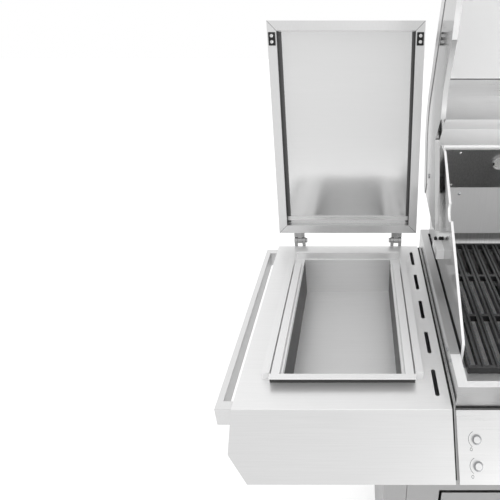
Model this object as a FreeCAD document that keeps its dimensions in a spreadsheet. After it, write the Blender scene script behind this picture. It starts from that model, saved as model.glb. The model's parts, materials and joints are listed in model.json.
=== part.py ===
"""Free-standing gas barbecue grill with a lidded side station, as a parametric FreeCAD document.

Frame: origin on the floor under the middle of the whole grill, X to the right, Y to the back,
Z up, millimetres. The side decks are the datum: heights are counted from their top and depths
from their front edge. The grill stands as in use, with its hood and its side lid open.
"""
import FreeCAD, Part
import Sketcher
import math
import os

DOCUMENT = FreeCAD.newDocument("gas_barbecue_grill")
SHEET = DOCUMENT.addObject("Spreadsheet::Sheet", "Sizes")

# name, value (millimetres or degrees), meaning
DRIVING_SIZES = [
    ("deck_height", 917, "top of the side decks above the floor"),
    ("origin_depth", 312, "from the decks' front edge back to the origin"),
    ("sheet", 1.5, "wall of the folded sheet pieces"),
    ("seat_gap", 0.3, "gap where curved or moving faces rest on each other"),
    ("seam", 7, "gap between the grill head and a side deck"),
    ("head_width", 914, "width of the grill head"),
    ("head_depth", 601, "depth of the firebox, front to back"),
    ("head_inset", 6, "firebox front behind the decks' front edge"),
    ("head_drop", 124, "firebox below the deck top"),
    ("rim_rise", 50, "cooking rim above the deck top"),
    ("rim_side", 19, "width of the rim's ledge at the sides"),
    ("rim_front", 15, "width of the rim's ledge at the front"),
    ("grate_rise", 30, "top of the grates above the deck top"),
    ("grate_thick", 15, "thickness of a grate"),
    ("grate_length", 486.5, "grate, front to back"),
    ("grate_front", 74, "front of the grates behind the decks' front edge"),
    ("grate_side", 6, "gap between the outer grates and the cheek plates"),
    ("grate_gap", 2, "gap between two grates"),
    ("slot_count", 10, "slots across one grate"),
    ("slot_width", 14, "width of a grate slot"),
    ("rib_width", 8, "cross ribs and end bars of a grate"),
    ("groove_width", 4.5, "grease groove on top of a grate bar"),
    ("groove_deep", 4, "depth of the grease groove"),
    ("cheek_thick", 6, "thickness of a cheek plate"),
    ("cheek_gap", 3, "cheek plates in from the firebox's mouth"),
    ("cheek_front", 97.4, "front of the cheek plates behind the decks' front edge"),
    ("cheek_slope", 35.4, "slope of the cheek plates' upper edge"),
    ("cheek_nose", 20.4, "height of the cheek's front end above the rim"),
    ("tamer_rise", -48, "ridge of the flame tamers above the deck top"),
    ("tamer_wide", 170, "width of a flame tamer"),
    ("tamer_fall", 40, "height of a flame tamer's ridge"),
    ("burner_count", 4, "burners across the firebox, each with its flame tamer and its knob"),
    ("burner_rise", -84, "middle of the burner tubes above the deck top"),
    ("burner_radius", 16, "radius of a burner tube"),
    ("tray_wide", 840, "width of the drip tray"),
    ("tray_deep", 512, "drip tray, front to back"),
    ("tray_drop", 8, "top of the drip tray below the firebox"),
    ("runner_wide", 24, "ledge that carries the drip tray"),
    ("tray_tall", 46, "height of the drip tray"),
    ("tray_travel", 380, "how far the drip tray pulls out"),
    ("knob_radius", 27, "radius of a control knob"),
    ("knob_long", 30, "length of a control knob"),
    ("knob_down", 66, "knobs' axis below the panel's top edge, along its slope"),
    ("bezel_radius", 38, "radius of a knob's bezel"),
    ("stem_radius", 4, "radius of a valve stem"),
    ("button_in", 34, "push buttons in from the panel's end"),
    ("button_first", 50, "upper button below the panel's top edge, along its slope"),
    ("button_pitch", 44, "spacing of the buttons along the slope"),
    ("button_radius", 6, "radius of a push button"),
    ("button_ring", 9, "radius of a push button's ring"),
    ("button_travel", 2.5, "how far a push button goes in"),
    ("stop_front", 345, "hood stops behind the decks' front edge"),
    ("stop_long", 60, "length of a hood stop"),
    ("stop_tall", 24, "height of a hood stop"),
    ("stop_rise", 134, "top of the hood stops above the deck top"),
    ("spit_back", 334, "spit notch behind the decks' front edge"),
    ("spit_radius", 22, "radius of the spit notch"),
    ("rear_wall", 562, "firebox rear wall behind the decks' front edge"),
    ("rear_knee", 200, "where the rear wall starts to lean forward, above the deck top"),
    ("rear_lip", 509, "front of the rear housing's lip behind the decks' front edge"),
    ("rear_height", 333, "rear housing's lip above the deck top"),
    ("lip_tall", 5, "height of the rear housing's lip"),
    ("lip_deep", 5, "flat top of the rear housing's lip, front to back"),
    ("rear_back", 582, "back of the rear housing behind the decks' front edge"),
    ("rear_fall", 262, "back edge of the rear housing above the deck top"),
    ("lamp_out", 280, "lamps from the grill's middle line"),
    ("lamp_along", 0.68, "lamps' place up the leaning panel, as a share of its length"),
    ("lamp_radius", 21, "radius of a lamp's bezel"),
    ("hinge_back", 545, "hood hinge axis behind the decks' front edge"),
    ("hinge_rise", 240, "hood hinge axis above the deck top"),
    ("hood_opening", 90, "angle of the open hood"),
    ("hood_side", 12.5, "thickness of the hood's sides over the skin's flange"),
    ("hood_flange", 34, "flange of the hood's skin on its sides"),
    ("hood_reveal", 2, "hood's sides in from the firebox's faces"),
    ("hood_front", 12, "hood's front when shut, behind the decks' front edge"),
    ("hood_nose", 103, "upright front of the shut hood above the rim"),
    ("hood_slope", 39, "slope of the hood's front panel when shut"),
    ("hood_bend", 96, "where the front panel meets the roof, behind the decks' front edge"),
    ("hood_roof", 25, "slope of the shut hood's roof"),
    ("hood_crest", 423, "where the roof turns down, behind the decks' front edge"),
    ("hood_fall", 22, "slope of the shut hood behind its crest"),
    ("hood_back", 612, "hood's back when shut, behind the decks' front edge"),
    ("hood_tail", 282, "lower back edge of the hood's skin, above the deck top"),
    ("nose_round", 45, "radius between the hood's upright front and its front panel"),
    ("bend_round", 100, "radius between the front panel and the roof"),
    ("crest_round", 200, "radius of the hood's crest"),
    ("heel_round", 20, "radius of the hood's rear corner"),
    ("gauge_stem", 4, "radius of the thermometer's stem"),
    ("hood_lift", 2, "shut hood above the rim"),
    ("brow_at", 200, "where the hood side's lower edge steepens, behind the decks' front edge"),
    ("brow_rise", 86, "where the hood side's lower edge steepens, above the deck top"),
    ("seat_front", 308, "front of the hood side's flat seat behind the decks' front edge"),
    ("seat_back", 370, "back of the hood side's flat seat behind the decks' front edge"),
    ("ear_peak", 433, "peak of the cut-out in the hood's side, behind the decks' front edge"),
    ("ear_rise", 189, "peak of the cut-out in the hood's side, above the deck top"),
    ("ear_round", 12, "radius of that peak"),
    ("ear_back", 624, "ear's lowest corner behind the decks' front edge"),
    ("ear_low", 86, "ear's lowest corner above the deck top"),
    ("ear_out", 634, "ear's rear corner behind the decks' front edge"),
    ("ear_turn", 128, "ear's rear corner above the deck top"),
    ("liner_fold_at", 313, "hood liner's front fold behind the decks' front edge"),
    ("liner_fold", 315, "hood liner's front fold above the deck top"),
    ("liner_crest_at", 424.5, "hood liner's rear fold behind the decks' front edge"),
    ("liner_crest", 340, "hood liner's rear fold above the deck top"),
    ("liner_rise_at", 452, "hood liner's step up behind its rear fold"),
    ("liner_rise", 347, "top of that step above the deck top"),
    ("liner_tail_at", 500, "hood liner's rear edge behind the decks' front edge"),
    ("liner_tail", 339, "hood liner's rear edge above the deck top"),
    ("liner_edge", 18, "hood liner behind the hood's front"),
    ("liner_drop", 4, "hood liner's front fold below the hood's"),
    ("hood_handle_in", 60, "ends of the hood's handle in from the head's sides"),
    ("hood_handle_drop", 58, "hood's handle below its front fold"),
    ("hood_handle_extra", 4, "hood's handle thicker than the doors', in radius"),
    ("post_in", 40, "handle posts in from the handle's ends"),
    ("post_wide", 14, "width of a handle's post"),
    ("gauge_radius", 32, "radius of the thermometer's case"),
    ("gauge_deep", 10, "depth of the thermometer's case"),
    ("gauge_reach", 60, "thermometer's stem inside the hood"),
    ("pin_radius", 6, "radius of the hood's hinge pins"),
    ("running_fit", 0.05, "radial clearance of a pin in its hole"),
    ("station_width", 406, "width of a side deck"),
    ("station_depth", 597, "depth of a side deck"),
    ("fascia_slope", 45, "front fascia's angle from upright"),
    ("fascia_length", 124, "front fascia along its slope"),
    ("fascia_thick", 20, "front fascia's returned edge"),
    ("chamfer_wide", 38, "cut corner of the fascia, across"),
    ("chamfer_tall", 48, "cut corner of the fascia, along the slope"),
    ("station_drop", 124, "side station's housing below the deck top"),
    ("well_width", 240, "inside of the well pan, across"),
    ("well_front", 68, "inside front of the well behind the deck's front edge"),
    ("well_back", 522, "inside back of the well behind the deck's front edge"),
    ("well_depth", 108, "well floor below the deck top"),
    ("rail_rise", 20, "well rails above the deck top"),
    ("rail_inner", 122.5, "inner face of a rail from the well's middle"),
    ("rail_wide", 16.5, "width of a rail"),
    ("rail_gap", 4, "gap between a rail and its outer strip"),
    ("strip_wide", 15.5, "width of the outer strip"),
    ("rail_back", 474, "back end of the rails behind the deck's front edge"),
    ("front_bar", 13, "front bar of the well, front to back"),
    ("front_bar_at", 56, "front bar behind the deck's front edge"),
    ("back_bar", 10, "back bar of the well, front to back"),
    ("bar_half", 142, "half length of the front and back bars"),
    ("vent_in", 22, "vent slots in from the deck's inner edge"),
    ("vent_first", 66.5, "front vent's middle behind the deck's front edge"),
    ("vent_pitch", 115.3, "spacing of the vent slots"),
    ("vent_count", 5, "vent slots in a deck"),
    ("vent_length", 69, "length of a vent slot"),
    ("vent_width", 8.5, "width of a vent slot"),
    ("lid_width", 395, "width of the side lid"),
    ("lid_length", 560, "length of the side lid"),
    ("lid_thick", 34, "thickness of the side lid"),
    ("lid_frame", 23, "width of the lid's frame members"),
    ("lid_lean", 8.4, "lid's lean from upright when open"),
    ("lid_hinge_back", 604, "lid hinge axis behind the deck's front edge"),
    ("lid_hinge_rise", 16, "lid hinge axis above the deck top"),
    ("lid_clear", 26, "from the hinge axis to the lid's hinge end"),
    ("lid_face", 10, "lid's open face in front of the hinge axis"),
    ("lid_hinge_at", 140, "lid hinge middle from the deck's middle line"),
    ("lid_barrel", 9, "radius of the lid hinge's barrel"),
    ("lid_barrel_wide", 32, "length of the lid hinge's barrel"),
    ("lid_pin", 4, "radius of the lid hinge's pin"),
    ("towel_out", 30.6, "towel rail beyond the deck's end"),
    ("towel_thick", 13, "thickness of the towel rail"),
    ("towel_tall", 42, "height of the towel rail"),
    ("towel_block", 20, "length of a towel rail's end block"),
    ("towel_short", 20, "towel rail's back end before the deck's back edge"),
    ("cart_width", 1166, "width of the cart"),
    ("cart_depth", 560, "depth of the cart"),
    ("cart_inset", 6, "cart front behind the decks' front edge"),
    ("cart_floor", 128, "underside of the cart's floor above the ground"),
    ("cart_floor_thick", 40, "depth of the cart's folded floor"),
    ("cart_wall", 1.5, "wall of the cart's folded pieces"),
    ("frame_thick", 20, "depth of the cart's front frame"),
    ("stile_wide", 119, "front stile beside a door"),
    ("top_rail", 60, "front rail above the doors"),
    ("bottom_rail", 16, "front rail below the doors"),
    ("door_thick", 22, "thickness of a door"),
    ("door_gap", 5, "gap round a door"),
    ("handle_radius", 9, "radius of the tube handles"),
    ("handle_stand", 42, "tube handle in front of what carries it"),
    ("door_handle_long", 300, "length of a door's handle"),
    ("door_handle_drop", 30, "door's handle below the door's top"),
    ("door_handle_in", 40, "door's handle in from the door's free edge"),
    ("door_pin", 4, "radius of a door's hinge pin"),
    ("door_pin_deep", 18, "door's hinge pin inside the door"),
    ("wheel_radius", 50, "radius of a caster wheel"),
    ("wheel_wide", 32, "width of a caster wheel"),
    ("caster_trail", 28, "caster wheel's axle behind its swivel axis"),
    ("caster_inset", 75, "swivel axis in from the cart's sides and ends"),
    ("axle_radius", 5, "radius of a caster axle"),
    ("swivel_radius", 9, "radius of a caster's swivel stem"),
]

for row, (name, value, meaning) in enumerate(DRIVING_SIZES, start=1):
    SHEET.set(f"A{row}", meaning)
    SHEET.set(f"B{row}", str(value))
    SHEET.setAlias(f"B{row}", name)
DOCUMENT.recompute()


class Size:
    """A length or an angle that knows its number and its formula in the sheet."""

    def __init__(self, number, formula):
        self.number = float(number)
        self.formula = formula

    def __add__(self, other):
        other = as_size(other)
        return Size(self.number + other.number, f"({self.formula} + {other.formula})")

    def __sub__(self, other):
        other = as_size(other)
        return Size(self.number - other.number, f"({self.formula} - {other.formula})")

    def __mul__(self, other):
        other = as_size(other)
        return Size(self.number * other.number, f"({self.formula} * {other.formula})")

    def __truediv__(self, other):
        other = as_size(other)
        return Size(self.number / other.number, f"({self.formula} / {other.formula})")

    def __neg__(self):
        return Size(-self.number, f"(0 - {self.formula})")

    def __radd__(self, other):
        return as_size(other) + self

    def __rsub__(self, other):
        return as_size(other) - self

    def __rmul__(self, other):
        return as_size(other) * self


def as_size(value):
    return value if isinstance(value, Size) else Size(value, repr(float(value)))


def sine(angle):
    return Size(math.sin(math.radians(angle.number)), f"sin({angle.formula})")


def cosine(angle):
    return Size(math.cos(math.radians(angle.number)), f"cos({angle.formula})")


def tangent(angle):
    return Size(math.tan(math.radians(angle.number)), f"tan({angle.formula})")


class Sizes:
    """The sheet's values by name."""


size = Sizes()
for name, value, meaning in DRIVING_SIZES:
    setattr(size, name, Size(SHEET.get(name), f"Sizes.{name}"))

# ---------------------------------------------------------------- building blocks

SUBPARTS = []
X_AXIS, Y_AXIS, Z_AXIS = FreeCAD.Vector(1, 0, 0), FreeCAD.Vector(0, 1, 0), FreeCAD.Vector(0, 0, 1)


def bind(thing, path, value):
    thing.setExpression(path, as_size(value).formula)


def place(thing, x=0, y=0, z=0, axis=None, angle=0):
    """Move a piece to (x, y, z) and turn it by angle about axis through that point."""
    if axis is not None:
        thing.Placement = FreeCAD.Placement(FreeCAD.Vector(), FreeCAD.Rotation(axis, 1))
        bind(thing, "Placement.Rotation.Angle", angle)
    for letter, value in zip("xyz", (x, y, z)):
        bind(thing, f"Placement.Base.{letter}", value)
    return thing


def subpart(thing, label):
    thing.Label = label
    SUBPARTS.append(thing)
    return thing


def block(x, y, z):
    """Box between the two bounds given for each axis."""
    box = DOCUMENT.addObject("Part::Box", "block")
    for prop, (low, high) in zip(("Length", "Width", "Height"), (x, y, z)):
        bind(box, prop, as_size(high) - low)
    return place(box, x[0], y[0], z[0])


def rod(axis, start, radius, length):
    """Round bar from start along +axis, an axis letter."""
    bar = DOCUMENT.addObject("Part::Cylinder", "rod")
    bind(bar, "Radius", radius)
    bind(bar, "Height", length)
    if axis == "x":
        return place(bar, *start, Y_AXIS, 90)
    if axis == "y":
        return place(bar, *start, X_AXIS, -90)
    return place(bar, *start)


def join(*pieces):
    fuse = DOCUMENT.addObject("Part::MultiFuse", "join")
    fuse.Shapes = list(pieces)
    fuse.Refine = True
    return fuse


def cut(base, *tools):
    result = DOCUMENT.addObject("Part::Cut", "cut")
    result.Base = base
    result.Tool = tools[0] if len(tools) == 1 else join(*tools)
    result.Refine = True
    return result


def group(*pieces):
    compound = DOCUMENT.addObject("Part::Compound", "group")
    compound.Links = list(pieces)
    return compound


def origin_plane(body, role):
    return next(item for item in body.Origin.OriginFeatures if item.Role == role)


PLANES = {"x": "YZ_Plane", "y": "XZ_Plane", "z": "XY_Plane"}


def outline(body, axis, corners, offset=0):
    """Closed sketch square to an axis; a corner's third value rounds it to that radius.

    Corners are (y, z) square to x, (x, z) square to y and (x, y) square to z.
    """
    sketch = body.newObject("Sketcher::SketchObject", "outline")
    sketch.AttachmentSupport = (origin_plane(body, PLANES[axis]), "")
    sketch.MapMode = "FlatFace"
    flip = -1 if axis == "y" else 1
    bind(sketch, "AttachmentOffset.Base.z", flip * as_size(offset))
    points = [FreeCAD.Vector(as_size(c[0]).number, as_size(c[1]).number, 0) for c in corners]
    radii = [as_size(c[2]).number if len(c) > 2 else 0 for c in corners]
    count = len(corners)
    starts, ends, arcs = [], [], {}
    for index in range(count):
        before, here, after = points[index - 1], points[index], points[(index + 1) % count]
        into, out = (here - before).normalize(), (after - here).normalize()
        if not radii[index]:
            ends.append(here)
            starts.append(here)
            continue
        half_turn = into.getAngle(out) / 2
        reach = radii[index] * math.tan(half_turn)
        ends.append(here - into * reach)
        starts.append(here + out * reach)
        middle = here + (out - into).normalize() * radii[index] * (1 / math.cos(half_turn) - 1)
        arcs[index] = Part.Arc(ends[index], middle, starts[index])
    for index in range(count):
        sketch.addGeometry(Part.LineSegment(starts[index], ends[(index + 1) % count]), False)
    for index in range(count):
        line_in, line_out = (index - 1) % count, index
        if index not in arcs:
            sketch.addConstraint(Sketcher.Constraint("Coincident", line_in, 2, line_out, 1))
            pin_point(sketch, line_out, 1, corners[index], index)
            continue
        arc = sketch.addGeometry(arcs[index], False)
        corner = sketch.addGeometry(Part.Point(points[index]), True)
        turns_left = (points[index] - points[index - 1]).cross(
            points[(index + 1) % count] - points[index]).z > 0
        first, last = (1, 2) if turns_left else (2, 1)
        sketch.addConstraint(Sketcher.Constraint("Tangent", line_in, 2, arc, first))
        sketch.addConstraint(Sketcher.Constraint("Tangent", arc, last, line_out, 1))
        sketch.addConstraint(Sketcher.Constraint("PointOnObject", corner, 1, line_in))
        sketch.addConstraint(Sketcher.Constraint("PointOnObject", corner, 1, line_out))
        pin_point(sketch, corner, 1, corners[index], index)
        radius = sketch.addConstraint(Sketcher.Constraint("Radius", arc, radii[index]))
        sketch.renameConstraint(radius, f"radius{index}")
        bind(sketch, f"Constraints.radius{index}", corners[index][2])
    return sketch


def pin_point(sketch, item, end, corner, index):
    """Hold a point at its two named distances from the sketch's origin."""
    for kind, letter, value in zip(("DistanceX", "DistanceY"), "ab", corner):
        rule = Sketcher.Constraint(kind, -1, 1, item, end, as_size(value).number)
        number = sketch.addConstraint(rule)
        sketch.renameConstraint(number, f"{letter}{index}")
        bind(sketch, f"Constraints.{letter}{index}", value)


def prism(axis, corners, low, high):
    """Body padded square to an axis between two bounds."""
    body = DOCUMENT.addObject("PartDesign::Body", "prism")
    sketch = outline(body, axis, corners)
    pad = body.newObject("PartDesign::Pad", "pad")
    pad.Profile = sketch
    bind(pad, "Length", as_size(high) - low)
    start = {"x": ("x", low), "y": ("y", high), "z": ("z", low)}[axis]
    bind(body, f"Placement.Base.{start[0]}", start[1])
    return body


def hex_bar(axis, middle, half, low, high):
    """Hexagonal bar square to an axis, half its width across flats, between two bounds."""
    corner = as_size(half) / cosine(as_size(30))
    corners = [(middle[0] + corner * cosine(as_size(60 * turn)), middle[1] + corner * sine(as_size(60 * turn)))
               for turn in range(6)]
    return prism(axis, corners, low, high)


def back(depth):
    """Y of a depth counted from the decks' front edge."""
    return as_size(depth) - size.origin_depth


def up(height):
    """Z of a height counted from the deck top."""
    return size.deck_height + height


def span(side, near, far):
    """X bounds between two distances from the middle, on the side -1 or +1."""
    near, far = as_size(near), as_size(far)
    return (near, far) if side > 0 else (-far, -near)


SIDES = (("left", -1), ("right", 1))
BURNERS = range(round(size.burner_count.number))
half_head = size.head_width / 2
rim = size.rim_rise
mouth_half = half_head - size.rim_side
mouth_front = size.head_inset + size.rim_front
head_back = size.head_inset + size.head_depth
station_near = half_head + size.seam
station_middle = station_near + size.station_width / 2
grate_bottom = size.grate_rise - size.grate_thick
cart_half = size.cart_width / 2
cart_top = -size.station_drop
bay = mouth_half * 2 / size.burner_count
bay_middles = [bay * (number + 0.5) - mouth_half for number in BURNERS]
cheek_outer = mouth_half - size.cheek_gap
cheek_inner = cheek_outer - size.cheek_thick


# ---------------------------------------------------------------- firebox

def burner_holes(wall):
    """Drills for the burner tubes through a wall at the given depth."""
    return [rod("y", (x, back(wall - 1), up(size.burner_rise)), size.burner_radius + size.seat_gap,
                size.sheet * 2) for x in bay_middles]


def firebox_shell():
    outer = block((-half_head, half_head), (back(size.head_inset), back(head_back)),
                  (up(-size.head_drop), up(rim)))
    inner_half = half_head - size.sheet
    cavity = block((-inner_half, inner_half),
                   (back(size.head_inset + size.sheet), back(head_back - size.sheet)),
                   (up(-size.head_drop - size.sheet), up(rim - size.sheet)))
    mouth = block((-mouth_half, mouth_half), (back(mouth_front), back(size.rear_back)),
                  (up(rim - size.sheet * 2), up(rim + size.sheet)))
    subpart(cut(outer, cavity, mouth, *burner_holes(size.head_inset)), "firebox_shell")


shelf_back = size.grate_front + 16
tamer_front = shelf_back + 6
tamer_back = size.rear_wall - 26
bay_low = size.tamer_rise - size.tamer_fall
bay_ledge = 14
liner_half = mouth_half + size.sheet
liner_front = mouth_front - size.sheet
liner_top = rim - size.sheet


def firebox_liner():
    low = -size.head_drop
    walls = block((-liner_half, liner_half), (back(liner_front), back(size.rear_wall + size.sheet)),
                  (up(low), up(liner_top)))
    hollow = block((-mouth_half, mouth_half), (back(mouth_front), back(size.rear_wall)),
                   (up(low - size.sheet), up(rim)))
    shelf_drop = grate_bottom - size.sheet
    shelf_wide = 20
    front_shelf = block((-mouth_half, mouth_half), (back(mouth_front), back(shelf_back)),
                        (up(shelf_drop), up(grate_bottom)))
    rear_shelf = block((-mouth_half, mouth_half),
                       (back(size.rear_wall - shelf_wide), back(size.rear_wall)),
                       (up(shelf_drop), up(grate_bottom)))
    rails = [block((-mouth_half, mouth_half), (back(near), back(far)),
                   (up(bay_low - size.sheet), up(bay_low)))
             for near, far in ((mouth_front, tamer_front + bay_ledge),
                               (tamer_back - bay_ledge, size.rear_wall))]
    room = [rod("y", (x, back(mouth_front - 1), up(size.burner_rise)), size.burner_radius + 4,
                size.rear_wall - mouth_front + 1) for x in bay_middles]
    walls = cut(walls, hollow, *burner_holes(liner_front))
    subpart(join(walls, front_shelf, rear_shelf, cut(join(*rails), *room)), "firebox_liner")


def cheek(name, side):
    """Side plate with a sloping upper edge and a notch for the spit."""
    slope = tangent(size.cheek_slope)
    nose = rim + size.cheek_nose
    top = size.rear_height
    crest = size.cheek_front + (top - nose) / slope
    rear = size.rear_back
    plate = prism("x", [(back(size.cheek_front), up(grate_bottom)),
                        (back(size.cheek_front), up(nose), 12),
                        (back(crest), up(top), 5),
                        (back(size.rear_lip + size.lip_deep), up(top), 4),
                        (back(rear), up(size.rear_fall)),
                        (back(rear), up(liner_top)),
                        (back(size.rear_wall), up(liner_top)),
                        (back(size.rear_wall), up(grate_bottom))],
                  *span(side, cheek_inner, cheek_outer))
    notch_height = nose + (size.spit_back - size.cheek_front) * slope
    notch = rod("x", (span(side, cheek_inner - size.cheek_thick, cheek_outer + size.cheek_thick)[0],
                      back(size.spit_back), up(notch_height)),
                size.spit_radius, size.cheek_thick * 3)
    stop = block(span(side, cheek_outer, half_head - size.hood_reveal - 1),
                 (back(size.stop_front), back(size.stop_front + size.stop_long)),
                 (up(size.stop_rise - size.stop_tall), up(size.stop_rise)))
    subpart(join(cut(plate, notch), stop), f"{name}_cheek")


def rear_housing():
    """Folded box behind the grates, leaning over them, open below."""
    half, wall = cheek_inner, size.sheet
    knee, lip, back_edge = size.rear_knee, size.rear_height, size.rear_fall
    outer = prism("x", [(back(size.rear_wall), up(liner_top)), (back(size.rear_wall), up(knee)),
                        (back(size.rear_lip), up(lip - size.lip_tall)), (back(size.rear_lip), up(lip)),
                        (back(size.rear_lip + size.lip_deep), up(lip)), (back(size.rear_back), up(back_edge)),
                        (back(size.rear_back), up(liner_top))], -half, half)
    front = size.rear_wall + wall
    inner = prism("x", [(back(front), up(liner_top - 1)), (back(front), up(knee + wall / 2)),
                        (back(size.rear_lip + wall * 3), up(lip - wall * 2)),
                        (back(size.rear_lip + wall * 5), up(lip - wall * 2)),
                        (back(size.rear_back - wall), up(back_edge - wall)),
                        (back(size.rear_back - wall), up(liner_top - 1))],
                  -half + wall, half - wall)
    subpart(cut(outer, inner), "rear_housing")


def on_rear_slope(thing, across, along, out=0):
    """Place a piece made square to z on the leaning panel: across, up along it and out of it."""
    run, rise = size.rear_wall - size.rear_lip, size.rear_height - size.lip_tall - size.rear_knee
    lean = math.degrees(math.atan2(run.number, rise.number))
    y = back(size.rear_wall - run * along) - as_size(out) * math.cos(math.radians(lean))
    z = up(size.rear_knee + rise * along) - as_size(out) * math.sin(math.radians(lean))
    return place(group(thing), across, y, z, X_AXIS, 90 + lean)


def rear_panel():
    """Brushed plate on the leaning wall that carries the lamps."""
    run, rise = size.rear_wall - size.rear_lip, size.rear_height - size.lip_tall - size.rear_knee
    length = math.hypot(run.number, rise.number)
    half = cheek_inner - 3
    plate = block((-half, half), (-length / 2 + 4, length / 2 - 4), (0, 3))
    subpart(on_rear_slope(plate, 0, 0.5), "rear_panel")


def rear_lamps():
    """Two oven lamps with round bezels and flat lenses on the leaning panel."""
    pieces = []
    for name, side in SIDES:
        bezel = cut(rod("z", (0, 0, 0), size.lamp_radius, 6), rod("z", (0, 0, 2), size.lamp_radius - 5, 5))
        lens = rod("z", (0, 0, 2), size.lamp_radius - 5.3, 3)
        pieces += [on_rear_slope(piece, size.lamp_out * side, size.lamp_along, 3) for piece in (bezel, lens)]
    subpart(group(*pieces), "rear_lamps")


firebox_shell()
firebox_liner()
for side_name, side in SIDES:
    cheek(side_name, side)
rear_housing()
rear_panel()
rear_lamps()


# ---------------------------------------------------------------- grates and burners

grate_half = (cheek_inner - size.grate_side + size.grate_gap / 2) / 3
slot_pitch = grate_half * 2 / size.slot_count


def slot_row(body, first_x, first_y, wide, length, depth, count, pitch, name):
    """Row of rectangular pockets from the top of a flat body."""
    sketch = outline(body, "z", [(first_x - wide / 2, first_y), (first_x + wide / 2, first_y),
                                 (first_x + wide / 2, first_y + length),
                                 (first_x - wide / 2, first_y + length)], size.grate_thick)
    pocket = body.newObject("PartDesign::Pocket", name)
    pocket.Profile = sketch
    bind(pocket, "Length", depth)
    pattern = body.newObject("PartDesign::LinearPattern", f"{name}_row")
    pattern.Originals = [pocket]
    pattern.Direction = (sketch, ["H_Axis"])
    bind(pattern, "Length", pitch * (count - 1))
    bind(pattern, "Occurrences", count)
    body.Tip = pattern
    return pattern


def grate(name, middle):
    """Cast grate: a plate with three rows of slots and a grease groove on each bar."""
    half = grate_half - size.grate_gap / 2
    body = prism("z", [(-half, 0, 3), (half, 0, 3), (half, size.grate_length, 3),
                       (-half, size.grate_length, 3)], 0, size.grate_thick)
    first = -grate_half + slot_pitch / 2
    rows = 3
    slot_long = (size.grate_length - size.rib_width * (rows + 1)) / rows
    for number in range(rows):
        start = size.rib_width + (slot_long + size.rib_width) * number
        slot_row(body, first, start, size.slot_width, slot_long, size.grate_thick + 1,
                 size.slot_count, slot_pitch, f"slots{number}")
    margin = size.rib_width / 2
    slot_row(body, first + slot_pitch / 2, margin, size.groove_width,
             size.grate_length - size.rib_width, size.groove_deep,
             size.slot_count - 1, slot_pitch, "grooves")
    place(body, middle, back(size.grate_front), up(grate_bottom))
    subpart(body, f"{name}_grate")


def flame_tamers():
    """Folded ridges that shield the burners, resting on the burner bay's rails."""
    wall = size.sheet
    pieces = []
    half = size.tamer_wide / 2
    for middle in bay_middles:
        ridge = prism("y", [(middle - half, up(bay_low)), (middle, up(size.tamer_rise), 8),
                            (middle + half, up(bay_low)), (middle + half - wall * 1.5, up(bay_low)),
                            (middle, up(size.tamer_rise - wall * 1.2), 6),
                            (middle - half + wall * 1.5, up(bay_low))],
                      back(tamer_front), back(tamer_back))
        pieces.append(ridge)
    subpart(group(*pieces), "flame_tamers")


def burners():
    """Tube burners with an open venturi end in the front wall and a tail on the rear wall."""
    tubes = []
    front = size.head_inset - 3
    long = size.rear_wall - 20 - front
    for x in bay_middles:
        start = (x, back(front), up(size.burner_rise))
        bore = rod("y", (x, back(front - 1), up(size.burner_rise)), size.burner_radius - size.sheet, long - 2)
        tail = block((x - 5, x + 5), (back(size.rear_wall - 21), back(size.rear_wall)),
                     (up(size.burner_rise - 5), up(size.burner_rise + 5)))
        tubes.append(join(cut(rod("y", start, size.burner_radius, long), bore), tail))
    subpart(group(*tubes), "burner_tubes")


grate("left", -grate_half * 2)
grate("center", as_size(0))
grate("right", grate_half * 2)
flame_tamers()
burners()


# ---------------------------------------------------------------- drip tray

tray_top = -size.head_drop - size.tray_drop
tray_low = tray_top - size.tray_tall


def drip_tray():
    half = size.tray_wide / 2
    top, low = tray_top, tray_low
    near, far = size.cart_inset + 2, size.cart_inset + 2 + size.tray_deep
    pan = block((-half, half), (back(near), back(far)), (up(low), up(top)))
    hollow = block((-half + size.sheet, half - size.sheet),
                   (back(near + size.sheet), back(far - size.sheet)),
                   (up(low + size.sheet), up(top + 1)))
    face = block((-half - 12, half + 12), (back(near - 6), back(near)), (up(low - 3), up(top + 1)))
    middle, front = (low + top) / 2, near - 6 - 28
    grip = block((-half / 2, half / 2), (back(front - 4), back(front + 4)), (up(middle - 8), up(middle + 8)))
    posts = [block((x - 6, x + 6), (back(front), back(near - 6)), (up(middle - 6), up(middle + 6)))
             for x in (-half / 2 + 20, half / 2 - 20)]
    subpart(join(cut(pan, hollow), face, grip, *posts), "drip_tray")


drip_tray()


# ---------------------------------------------------------------- controls

def on_fascia(thing, across, down, out=0):
    """Place a piece made square to y on the sloping front: across, down the slope and out of it."""
    slope = size.fascia_slope
    y = back(0) - down * sine(slope) - as_size(out) * cosine(slope)
    z = up(-size.sheet) - down * cosine(slope) + as_size(out) * sine(slope)
    return place(group(thing), across, y, z, X_AXIS, -slope)


def fascia(low, high, cut_corner, holes=()):
    """Sloping front with returned edges and an optional cut lower corner; holes pass through."""
    length, thick, wall = size.fascia_length, size.fascia_thick, size.sheet

    def sheet_outline(inset):
        left, right, foot, head = low + inset, high - inset, -length + inset, as_size(0) - inset
        if cut_corner == "left":
            return [(left, head), (left, -length + size.chamfer_tall), (low + size.chamfer_wide, foot),
                    (right, foot), (right, head)]
        if cut_corner == "right":
            return [(left, head), (left, foot), (high - size.chamfer_wide, foot),
                    (right, -length + size.chamfer_tall), (right, head)]
        return [(left, head), (left, foot), (right, foot), (right, head)]

    shell = prism("y", sheet_outline(0), 0, thick)
    hollow = prism("y", sheet_outline(wall), wall, thick + wall)
    drills = []
    for across, down, radius in holes:
        drills.append(rod("y", (across, -wall, -down), radius, wall * 3))
    body = cut(shell, hollow, *drills)
    return on_fascia(body, 0, as_size(0))


knob_places = bay_middles
button_x = size.button_in - half_head
button_downs = [size.button_first, size.button_first + size.button_pitch]


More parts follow.
